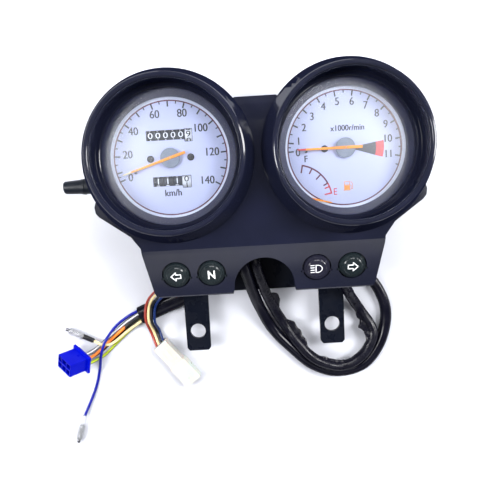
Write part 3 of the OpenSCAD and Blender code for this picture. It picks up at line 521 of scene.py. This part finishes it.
WHITE_PLUG = [
    [(-64, 45.6, 30), (-81, 34, 10), (-90, 23, 0.6), (-92, 10, -0.8), (-90.4, -2, -8.6),
     (-86.3, -13.4, -6.5)],
    [(-61.7, 44.8, 30), (-78.7, 33, 10), (-87.7, 22.4, 0.6), (-89.7, 9.6, -0.8), (-88.1, -1.6, -8.6),
     (-84.5, -11.9, -6.5)],
    [(-59.4, 44, 30), (-76.4, 32, 10), (-85.4, 21.8, 0.6), (-87.4, 9.2, -0.8), (-85.8, -1.2, -8.6),
     (-82.7, -10.4, -6.5)],
    [(-57.1, 43.2, 30), (-74.1, 31, 10), (-83.1, 21.2, 0.6), (-85.1, 8.8, -0.8), (-83.5, -0.8, -8.6),
     (-80.9, -8.9, -6.5)]]

MAIN_STEP, BRANCH_STEP, WIRE_STEP = 1.6, 1.3, 1.2     # distance between the rings of a tube
MAIN_RADIUS, BRANCH_RADIUS = 4.2, 3.95


def vinyl_shape(s, a):
    """Soft dents of an empty sleeve round a bundle of wires."""
    return 1 + 0.035 * noise.noise(Vector((s * 0.05, math.cos(a) * 0.9, math.sin(a) * 0.9)))


def tape_shape(s, a):
    """Edges of a spiral tape wrap, with uneven laps."""
    pitch = 13
    turn = (s / pitch + a / (2 * math.pi)) % 1
    lap = 0.05 * (1 - turn)
    return 0.965 + lap + 0.05 * noise.noise(Vector((s * 0.09, math.cos(a), math.sin(a))))


main, main_path = tube("main_loom_sleeve", MAIN, MAIN_RADIUS, ["vinyl"], 24, MAIN_STEP, vinyl_shape,
                       slot="loom_vinyl")
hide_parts("main_loom")
branch, branch_path = tube("branch_loom_tape", BRANCH, BRANCH_RADIUS, ["tape"], 24, BRANCH_STEP, tape_shape,
                           slot="loom_tape")
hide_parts("branch_loom")


def tape_flap(name, start, end, reach):
    """Loose edge of tape on the inside of the branch loom's loop, reach mm wide at the middle.

    start and end are x and y of the stretch of loom that it lies along."""
    root, edge, thick = 2.4, 3.4, 0.4
    path = smooth_path(BRANCH, BRANCH_STEP)
    a, b = (min(range(len(path)), key=lambda i: (path[i].xy - Vector(q)).length) for q in (start, end))
    bm, rings = bmesh.new(), []
    for i in range(a, b + 1):
        p, f = path[i], (i - a) / (b - a)
        inward = UP.cross(path[i + 1] - path[i - 1]).normalized()
        torn = noise.noise(Vector((p.x, p.y, 0)) * 0.2)
        swell = math.sqrt(math.sin(math.pi * min(max(f, 0.02), 0.98)))
        out = edge + reach * swell * (0.85 + 0.6 * torn)
        section = [(root, 1.9), ((root + out) / 2, 2.4 + 0.5 * torn), (out, 1.4 + 1.2 * torn)]
        ring = [p + inward * u + UP * v for u, v in section]
        ring += [v - UP * thick for v in reversed(ring)]
        rings.append([resting(bm, v) for v in ring])
    skin(bm, rings)
    add(name, finish_mesh(bm, name, 50), ROOT, "tape", slot="loom_tape")


tape_flap("tape_flap_arch", (2, 27), (8, 13), 5)
tape_flap("tape_flap_left", (14, 1), (29, -19), 4.6)
tape_flap("tape_flap_low", (38, -29), (64, -34), 2.6)
tape_flap("tape_flap_right", (82.5, -17), (75, 8), 5.5)


def open_sleeve():
    """Flat vinyl sleeve that widens from the loom, hollow at its far end, where the wires leave it."""
    sides, wall, hollow, widening, squareness = 32, 0.7, 12, 14, 0.8
    path = smooth_path(SLEEVE, 1.5)
    bm = bmesh.new()
    total, s, stations = length_of(path), 0.0, []
    for i, (p, t) in enumerate(zip(path, tangents_of(path))):
        s += (p - path[i - 1]).length if i else 0
        side = t.cross(UP).normalized()
        f = min(1, s / widening)
        stations.append((p, side, side.cross(t), 4.4 + 2.5 * f, 4.2 + 0.2 * f, total - s))
    rows = [(g, 0) for g in stations] + [(g, wall) for g in reversed(stations) if g[5] < hollow]
    rings = []
    for (p, side, up, wide, high, _), inset in rows:
        ring = []
        for k in range(sides):
            a = 2 * math.pi * k / sides
            c, z = math.cos(a), math.sin(a)
            dent = 0.25 * noise.noise(Vector((p.x * 0.09, c, z)))
            x = (wide - inset + dent) * math.copysign(abs(c) ** squareness, c)
            y = (high - inset) * math.copysign(abs(z) ** squareness, z)
            ring.append(bm.verts.new((p + side * x + up * y) * MM))
        rings.append(ring)
    skin(bm, rings)
    return add("loom_sleeve_end", finish_mesh(bm, "loom_sleeve_end", 60), ROOT, "vinyl", slot="loom_vinyl")


sleeve = open_sleeve()
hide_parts("loom_sleeve")


def lathe_along(name, mat, start, turn, profile, slot=None):
    """Turned piece whose axis lies flat, from start in the direction turn, in degrees about Z."""
    m = at(*start) @ Matrix.Rotation(math.radians(turn), 4, "Z") @ Matrix.Rotation(math.pi / 2, 4, "Y")
    return lathe(name, ROOT, mat, (0, 0), profile, 24, slot, m, smooth=50)


def terminal(name, start, turn, boot):
    """Crimped terminal in a clear sleeve, with a coloured boot behind it."""
    return [
        lathe_along(name + "_boot", boot, start, turn,
                    [(0, -1), (1.2, -1), (1.9, 0.4), (1.95, 9.5), (1.6, 10.6), (0, 10.6)]),
        lathe_along(name + "_crimp", "crimp", start, turn,
                    [(0, 9), (1.1, 9), (1.5, 10.2), (1.5, 14.6), (1.1, 15.4), (1.1, 17.2), (1.7, 18),
                     (1.7, 20.4), (1.1, 21.2), (1.35, 22.2), (1.2, 23.4), (0, 23.8)]),
        lathe_along(name + "_sheath", "milky", start, turn,
                    [(2.05, 8.4), (2.45, 9.6), (2.6, 12), (2.6, 19), (2.4, 20.2), (1.95, 20.4),
                     (2.1, 19.2), (2.2, 12.2), (2.0, 9.8)], slot="terminal_clear")]


bullet_pieces = terminal("bullet", BULLET[-1], 153, "wire_black")
blue_pieces = terminal("blue_end", BLUE[-1], -108, "milky")
for p in bullet_pieces + blue_pieces:
    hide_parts("wire_terminals")


def wire(name, route, node, diameter, mats, slot, stripe=()):
    """Thin wire in place of a CAD node; stripe holds the columns of its tracer colour."""
    lead, path = tube(name, route, diameter / 2, mats, 14, WIRE_STEP, stripe=stripe, slot=slot)
    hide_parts(node)


wire("blue_lead", BLUE, "blue_wire", 2.2, ["wire_blue"], "wire_blue")
wire("yellow_lead", BULLET, "bullet_wire", 2.2, ["wire_cream"], "wire_yellow")
SIX_WAY_LEADS = (("orange_lead", ["wire_orange"], ()),
                 ("black_white_lead", ["wire_black", "wire_white"], (2, 3, 4, 9)),
                 ("black_lead", ["wire_black", "wire_black"], ()),
                 ("lime_lead", ["wire_lime", "wire_black"], (5, 6, 7)))
for (name, mats, stripe), route in zip(SIX_WAY_LEADS, SIX_WAY):
    wire(name, route, "six_way_wires", 2.2, mats, "wire_orange", stripe)
WHITE_PLUG_LEADS = (("brown_lead", "wire_brown"), ("cream_lead", "wire_cream"),
                    ("black_thin_lead", "wire_black"), ("navy_lead", "wire_navy"))
for (name, mat), route in zip(WHITE_PLUG_LEADS, WHITE_PLUG):
    wire(name, route, "white_plug_wires", 2, [mat], "wire_brown")

# ---- dials ----

P0, P1 = DIAL_Z - 0.02, DIAL_Z + 0.08     # heights of the print's foot and top
RING_R = 37.0                             # printed ring round each scale
LONG_TICK, SHORT_TICK = 0.95, 0.7         # widths of the ticks
INK, MAROON, DARK, RED, ORANGE = range(5)


def dial_ring(bm, c):
    """Thin printed ring outside the ticks."""
    arc_band(bm, c, RING_R - 0.4, RING_R + 0.4, 0, 360, P0, P1, MAROON)


def tick(bm, c, a, big, length):
    """Tick inward from the ring at an angle in degrees."""
    width = LONG_TICK if big else SHORT_TICK
    bar(bm, polar(c, RING_R - 0.3, a), polar(c, RING_R - length, a), width, P0, P1, INK)


def figure(bm, text, height, x, y, wide):
    """Dial figure, laid down twice a little apart for a heavier stroke."""
    for shift, lift in ((-0.13, 0), (0.13, 0.004)):
        glyphs(bm, text, height, at(x + shift, y, (P0 + P1) / 2 + lift), INK, wide, 0.004)


def speedo_print():
    """Scale 0 to 140; spots holds the centres of its figures, from the dial's centre."""
    c, bm = SPEEDO, bmesh.new()
    dial_ring(bm, c)

    def angle(v):
        return 201.7 - 0.9 * v if v <= 10 else 192.7 - 1.72 * (v - 10)

    for v in range(0, 141, 5):
        big = v % 10 == 0
        tick(bm, c, angle(v), big, 3.9 if big else 1.9)
    spots = {0: (-27.2, -11.3), 20: (-28.0, 3.6), 40: (-23.2, 18.3), 60: (-8.6, 28.4), 80: (9.3, 28.3),
             100: (20.6, 18.2), 120: (27.2, 2.4), 140: (23.0, -15.8)}
    for v, (x, y) in spots.items():
        figure(bm, str(v), 5.1, c.x + x, c.y + y, 0.9)
    figure(bm, "km/h", 4.4, c.x + 0.2, c.y - 22.8, 0.9)
    add("speedo_print", finish_mesh(bm, "speedo_print", 30), ROOT, "ink", "maroon", slot="dial_pale")


def tacho_print():
    """Scale 0 to 11 with its warning wedge and the fuel gauge."""
    c, bm = TACHO, bmesh.new()
    dial_ring(bm, c)

    def angle(v):
        return 181.2 - 9 * v if v <= 1 else 172.2 - 18.35 * (v - 1)

    for k in range(24):
        big = k % 2 == 0
        tick(bm, c, angle(k / 2), big, 3.7 if big else 1.9)
    arc_band(bm, c, RING_R - 0.8, RING_R + 0.4, angle(11) - 1, angle(8), P0, P1 + 0.01, MAROON)
    spots = [(-30.6, -1.6), (-29.8, 5.7), (-26.0, 14.2), (-20.5, 21.0), (-12.9, 26.9), (-3.9, 29.6),
             (5.5, 29.2), (14.3, 26.2), (21.5, 20.8), (27.0, 13.5), (28.0, 4.2), (28.4, -5.7)]
    for v, (x, y) in enumerate(spots):
        figure(bm, str(v), 4.9, c.x + x, c.y + y, 0.88)
    figure(bm, "x1000r/min", 3.7, c.x + 2.2, c.y + 12.6, 0.9)
    # warning wedge: a dark part that opens outward, and a red end
    wedge_mid, inner, middle, outer = -4.4, 4.4, 20.4, 25.6
    half = {inner: 12.2 * 0.45, middle: 12.1, outer: 12.1}
    for index, a, b, lift in ((DARK, inner, middle, 0.01), (RED, middle, outer, 0.02)):
        edge = []
        for r, order in ((a, 1), (b, -1)):
            arc = [polar(c, r, wedge_mid - half[r] + 2 * half[r] * i / 12) for i in range(13)]
            edge += arc[::order]
        prism(bm, edge, P0, P1 + lift, index)
    fuel_gauge(bm, c)
    add("tacho_print", finish_mesh(bm, "tacho_print", 30), ROOT, "ink", "maroon", "drum", "ink_red",
        "ink_orange", slot="dial_pale")


def fuel_gauge(bm, c):
    """Scale from F to E, and a petrol pump."""
    hub, r = (c.x - 33, c.y - 33), 23.6
    full, low, empty = 78, 27, 10
    arc_band(bm, hub, r - 0.5, r + 0.5, low, full, P0, P1, MAROON)
    arc_band(bm, hub, r - 0.5, r + 0.5, empty, low, P0, P1, RED)
    for a, long, index in ((full, 5.0, MAROON), (62, 4.0, MAROON), (45, 4.6, MAROON), (low, 3.2, MAROON),
                           (21, 3.4, RED), (empty, 4.6, RED)):
        bar(bm, polar(hub, r + 0.4, a), polar(hub, r - long, a), 0.95, P0, P1, index)
    figure(bm, "F", 4.3, c.x - 25.6, c.y - 6.0, 0.85)
    glyphs(bm, "E", 4.4, at(c.x - 7.2, c.y - 28.3, (P0 + P1) / 2), RED, 0.85, 0.025)
    # pump: frame, foot, sill, hose, then the filled tank
    x, y = c.x + 1.3, c.y - 24.7
    for a, b, w in (((-2.4, -2.9), (-2.4, 2.6), 0.35), ((1.1, -2.9), (1.1, 2.6), 0.35),
                    ((-2.5, 2.6), (1.2, 2.6), 0.35), ((-3.0, -2.9), (1.7, -2.9), 0.45),
                    ((-2.4, 0.6), (1.1, 0.6), 0.3), ((1.2, 0.4), (2.1, 0.1), 0.35),
                    ((2.1, 0.2), (2.1, -2.2), 0.35), ((2.1, -2.2), (3.0, -2.2), 0.35),
                    ((3.0, -2.3), (3.0, 1.3), 0.35), ((3.0, 1.3), (1.9, 2.6), 0.35)):
        bar(bm, (x + a[0], y + a[1]), (x + b[0], y + b[1]), w, P0, P1, ORANGE)
    prism(bm, [(x - 2.3, y - 2.6), (x + 1, y - 2.6), (x + 1, y + 0.3), (x - 2.3, y + 0.3)], P0, P1, ORANGE)


def loop(points):
    """Pairs of neighbours round a closed outline."""
    return list(zip(points, points[1:] + points[:1]))


def window_frame(name, y, x, width, last, low, high, drop):
    """Dark edge round a number window, from the dial's centre; its last place is taller by drop."""
    bm = bmesh.new()
    left, right = SPEEDO.x + x, SPEEDO.x + x + width
    step, foot, top = right - last, SPEEDO.y + y + low, SPEEDO.y + y + high
    outline = [(left, foot), (step, foot), (step, foot - drop), (right, foot - drop),
               (right, top + 0.3), (step, top + 0.3), (step, top), (left, top)]
    for a, b in loop(outline):
        bar(bm, a, b, 0.28, P0 - 0.7, P1)
    add(name, finish_mesh(bm, name, 30), ROOT, "ink", slot="dial_pale")


speedo_print()
tacho_print()
window_frame("odometer_edge", 14.8, -15, 30, 5, -2.9, 3.3, 1.6)
window_frame("trip_edge", -15, -12.5, 25, 5.65, -3, 3, 1.6)
for key, c in (("speedo", SPEEDO), ("tacho", TACHO)):
    lathe(key + "_dial_rim", ROOT, "dial_edge", c,
          [(37.5, DIAL_Z), (37.5, DIAL_Z + 0.06), (38.7, DIAL_Z + 0.5), (40.2, DIAL_Z + 0.7), (40.2, DIAL_Z)],
          128, "dial_pale")


def slot_of(node):
    """Material slot that the record gives a node."""
    return next(s["material_slot"] for s in frame["record"]["subparts"] if s["node"] == node)


def drum_figures(node, ink, shown, tall, wide, bold):
    """The ten figures round a number drum, with shown at the top; the one is a plain stroke."""
    low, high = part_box(node)
    mid = (low + high) / 2 / MM
    r = (high.z - low.z) / 2 / MM
    bm = bmesh.new()
    for d in range(10):
        lean = (d - shown) * 2 * math.pi / 10

        def bend(p):
            a = lean - p.y / r
            q = r + p.z + 0.03
            return Vector((p.x, -q * math.sin(a), q * math.cos(a)))

        glyphs(bm, "l" if d == 1 else str(d), tall, at(mid.x - 0.1, mid.y, mid.z), 0, wide, bold, 0.08, bend)
    name = node + "_figures"
    add(name, finish_mesh(bm, name, 30), BODY_OF[node], ink, slot=slot_of(node))


ODO_DRUMS, TRIP_DRUMS = 6, 4
for i in range(1, ODO_DRUMS):
    drum_figures("odo_drum_%d" % i, "ink_white", 0.04, 3.75, 1.3, 0.004)
drum_figures("odo_drum_%d" % ODO_DRUMS, "ink", 9.04, 3.75, 1.3, 0.025)
for i in range(1, TRIP_DRUMS):
    drum_figures("trip_drum_%d" % i, "ink_white", 1, 3.8, 1.25, 0.03)
drum_figures("trip_drum_%d" % TRIP_DRUMS, "ink", 0.22, 3.8, 1.25, 0.03)

# ---- pointers ----


def pointer(name, body, c, rest, length, tail, wide, fine, node, tip):
    """Grey hub cap and a ridged blade over it, at rest degrees; wide and fine are half widths of the blade."""
    profile = [(0, -2.3), (6.1, -2.3), (6.4, -2.0), (6.4, -1.1), (6.15, -0.8), (0.9, -0.72), (0, -0.72)]
    hub = lathe(name + "_hub", body, "hub", c, [(r, NEEDLE_Z + z) for r, z in profile], 64, "needle_orange")
    bm = bmesh.new()
    a = math.radians(rest)
    along, across = Vector((math.cos(a), math.sin(a))), Vector((-math.sin(a), math.cos(a)))
    z0, z1 = NEEDLE_Z - 0.7, NEEDLE_Z
    stations = [(-tail, wide), (0, wide * 0.98), (length * 0.82, fine * 1.15), (length - 1.2, fine),
                (length, 0.12)]
    rows = []
    for s, w in stations:
        base = Vector(c) + along * s
        left, right = base + across * w, base - across * w
        in_l, in_r = base + across * w * 0.45, base - across * w * 0.45
        section = ((right, z0), (right, z1 - 0.25), (in_r, z1), (in_l, z1), (left, z1 - 0.25), (left, z0))
        rows.append([bm.verts.new((q.x * MM, q.y * MM, z * MM)) for q, z in section])
    for i, (p, q) in enumerate(zip(rows, rows[1:])):
        for k in range(6):
            f = bm.faces.new((p[k], p[(k + 1) % 6], q[(k + 1) % 6], q[k]))
            f.material_index = 1 if i >= 2 else 0
    bm.faces.new(rows[0][::-1])
    bm.faces.new(rows[-1])
    name += "_blade"
    blade = add(name, finish_mesh(bm, name, 30), body, "needle", tip, slot="needle_orange")
    for piece in (hub, blade):
        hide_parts(node)


pointer("speed_pointer", "speed_pointer", SPEEDO, 197, 33, 10.5, 0.9, 0.5, "speedo_needle", "needle_tip")
pointer("tacho_pointer", "tacho_pointer", TACHO, 180, 31.5, 10.7, 0.95, 0.55, "tacho_needle", "ink_red")

# ---- tell-tale icons ----

PANEL_TILT = math.atan2(9.5, 31.8)
PANEL_TOP = (68, 53)              # y and z of the lamp panel's upper edge
CAP_DOWN = 16.7                   # from there to the caps' centres, along the panel
CAP_TOP = 2.32                    # height of the caps above the panel


def icon_place(node):
    """Matrix in mm to the top face of a lamp cap."""
    low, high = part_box(node)
    t = PANEL_TILT
    y, z = PANEL_TOP
    place = at((low.x + high.x) / 2 / MM, y - CAP_DOWN * math.cos(t), z - CAP_DOWN * math.sin(t))
    return place @ Matrix.Rotation(t, 4, "X")


def strokes(bm, lines, width, place):
    """Joined strokes lying on a lamp cap."""
    first = len(bm.verts)
    for a, b in lines:
        d = (Vector(b) - Vector(a)).normalized() * width * 0.42
        bar(bm, Vector(a) - d, Vector(b) + d, width, CAP_TOP - 0.02, CAP_TOP + 0.07)
    bm.verts.ensure_lookup_table()
    for v in bm.verts[first:]:
        v.co = (place @ (v.co / MM)) * MM


def icons():
    """White signs on the four caps, as outlines of joined strokes."""
    arrow = [(-3.3, 0), (-0.1, 2.9), (-0.1, 1.3), (3.2, 1.3), (3.2, -1.3), (-0.1, -1.3), (-0.1, -2.9)]
    letter = [((-1.9, -2.6), (-1.9, 2.6)), ((-1.9, 2.4), (1.9, -2.4)), ((1.9, -2.6), (1.9, 2.6))]
    bowl = [(0.2 + 3.0 * math.cos(math.radians(a)), 2.6 * math.sin(math.radians(a)))
            for a in range(-90, 91, 15)]
    beam = loop([(-0.9, -2.6)] + bowl + [(-0.9, 2.6)])
    beam += [((-4.3, y), (-2.0, y)) for y in (-2.5, -0.85, 0.85, 2.5)]
    right = [(-x, y) for x, y in arrow]
    for node, lines, width in (("left_turn_cap", loop(arrow), 0.54), ("neutral_cap", letter, 0.9),
                               ("high_beam_cap", beam, 0.44), ("right_turn_cap", loop(right), 0.54)):
        bm = bmesh.new()
        strokes(bm, lines, width, icon_place(node))
        name = node.replace("_cap", "_icon")
        add(name, finish_mesh(bm, name, 30), ROOT, "ink_white", slot="cap_smoke")


icons()

# ---- CAD nodes that stay ----

for node, mat, edge in (
        ("front_cover", "cover", 0.5), ("rear_case", "case", 0.4), ("speedo_lens", "lens", 0),
        ("tacho_lens", "lens", 0), ("lens_seals", "rubber", 0), ("speedo_surround", "surround", 0),
        ("tacho_surround", "surround", 0), ("speedo_dial", "dial", 0), ("tacho_dial", "dial", 0),
        ("dial_screws", "black_steel", 0.08), ("stop_pins", "black_steel", 0.1),
        ("speedo_frame", "alloy", 0.2), ("cable_boss", "zinc", 0.3), ("shaft_bush", "brass", 0),
        ("hairspring", "brass", 0), ("meter_axles", "steel", 0), ("magnet_shaft", "steel", 0),
        ("cross_shaft", "steel", 0), ("speed_cup", "alloy", 0), ("reset_shaft", "steel", 0),
        ("reset_knob", "rubber", 0.3), ("reset_bush", "case", 0), ("tacho_movement", "alloy", 0.2),
        ("tacho_board", "board", 0.1), ("tacho_rotor", "steel", 0), ("fuel_movement", "alloy", 0.1),
        ("fuel_needle", "needle", 0),
        ("left_turn_cap", "cap_green", 0.25), ("neutral_cap", "cap_green", 0.25),
        ("high_beam_cap", "cap_blue", 0.25), ("right_turn_cap", "cap_green", 0.25),
        ("bulb_sockets", "rubber", 0.3), ("bulbs", "bulb", 0), ("bracket", "paint", 0.5),
        ("case_studs", "zinc", 0.3), ("dampers", "rubber", 0.4), ("bracket_nuts", "zinc", 0.3),
        ("case_screws", "zinc", 0.2), ("six_way_plug", "blue_plug", 0.3), ("white_plug", "white_plug", 0.3)):
    dress(node, mat, edge)
for kind, count in (("odo", ODO_DRUMS), ("trip", TRIP_DRUMS)):
    for i in range(1, count + 1):
        dress("%s_drum_%d" % (kind, i), "drum_white" if i == count else "drum", 0.12)

# ---- floor, light, camera ----

# floor colours near the cluster and far from it; the far one is painted paler, as painted light that makes up
# for the lamps' light falling off
FLOOR_NEAR, FLOOR_FAR = (0.47, 0.48, 0.53), (0.95, 0.95, 0.97)


def grade(tree, kind, **values):
    """A shader node of a kind in a tree, with values for its sockets."""
    node = tree.nodes.new("ShaderNode" + kind)
    for name, value in values.items():
        socket(node, name.replace("_", " "), value)
    return node


bm = bmesh.new()
half, thick = 3000, 2
prism(bm, [(-half, -half), (half, -half), (half, half), (-half, half)], REST_Z - thick, REST_Z)
floor = bpy.data.objects.new("floor", finish_mesh(bm, "floor"))
bpy.context.scene.collection.objects.link(floor)
paper = material("floor_white", FLOOR_NEAR, 0.6, grain=40, bump=0.02, deep=0.05)
floor.data.materials.append(paper)
# painted light: the paper is painted paler from 0.3 m to 1 m away, and glows a little further out, to make up
# for the lamps' light falling off with distance
tree = paper.node_tree
place, reach, fade = (grade(tree, kind) for kind in ("TexCoord", "VectorMath", "ValToRGB"))
reach.operation = "LENGTH"
for element, where, tone in zip(fade.color_ramp.elements, (0.3, 1), (FLOOR_NEAR, FLOOR_FAR)):
    element.position, element.color = where, (*tone, 1)
glow = grade(tree, "MapRange", From_Min=0.6, From_Max=2.5, To_Min=0, To_Max=0.6)
principled = tree.nodes["Principled BSDF"]
tree.links.new(place.outputs["Object"], reach.inputs[0])
tree.links.new(reach.outputs["Value"], fade.inputs["Fac"])
tree.links.new(fade.outputs[0], principled.inputs["Base Color"])
tree.links.new(reach.outputs["Value"], glow.inputs["Value"])
tree.links.new(glow.outputs[0], principled.inputs["Emission Strength"])


def lamp(name, place, aim, size, power):
    """Rectangular soft light; size is its width and height in metres."""
    data = bpy.data.lights.new(name, "AREA")
    data.shape = "RECTANGLE"
    data.size, data.size_y = size
    data.energy = power
    o = bpy.data.objects.new(name, data)
    o.location = place
    o.rotation_euler = (Vector(aim) - Vector(place)).to_track_quat("-Z", "Y").to_euler()
    bpy.context.scene.collection.objects.link(o)


centre = (0, 0.1, 0)
lamp("key", (0.62, 0.3, 0.76), centre, (0.3, 0.5), 14.5)
lamp("side", (-0.7, 0.1, 0.7), centre, (0.3, 0.5), 13)
lamp("top", (0.05, 0.8, 0.72), centre, (0.8, 0.25), 9)
lamp("low", (0.05, -0.5, 0.85), centre, (0.8, 0.25), 1)
lamp("grazing", (0.95, 0.2, 0.3), (0, 0.13, 0.05), (0.3, 0.25), 5)
# two small lamps where the lenses mirror them, for the veils on the dials
lamp("glare_left", (-0.33, 0.22, 0.752), (-0.33, 0.22, 0), (0.12, 0.17), 1.5)
lamp("glare_right", (0.1, 0.37, 0.752), (0.1, 0.37, 0), (0.14, 0.14), 0.8)

# the studio's walls: bright near the horizon, dim overhead
world = bpy.data.worlds.new("studio")
world.use_nodes = True
tree = world.node_tree
sky = tree.nodes["Background"]
socket(sky, "Color", (0.93, 0.94, 1, 1))
place, parts = grade(tree, "TexCoord"), grade(tree, "SeparateXYZ")
fade = grade(tree, "MapRange", From_Min=0.02, From_Max=0.4, To_Min=0.8, To_Max=0.14)
tree.links.new(place.outputs["Generated"], parts.inputs[0])
tree.links.new(parts.outputs["Z"], fade.inputs["Value"])
tree.links.new(fade.outputs[0], sky.inputs["Strength"])
bpy.context.scene.world = world

CAMERA_AT, CAMERA_TURN = (-0.010985, 0.10408, 0.3552), (-0.1015, 0.0063, -0.0587)
camera = bpy.data.cameras.new("camera")
camera.lens = 35.25
camera.sensor_width = 36
view = bpy.data.objects.new("camera", camera)
view.location = CAMERA_AT
view.rotation_euler = Euler(CAMERA_TURN)
bpy.context.scene.collection.objects.link(view)
bpy.context.scene.camera = view
bpy.context.scene.view_settings.view_transform = "Standard"
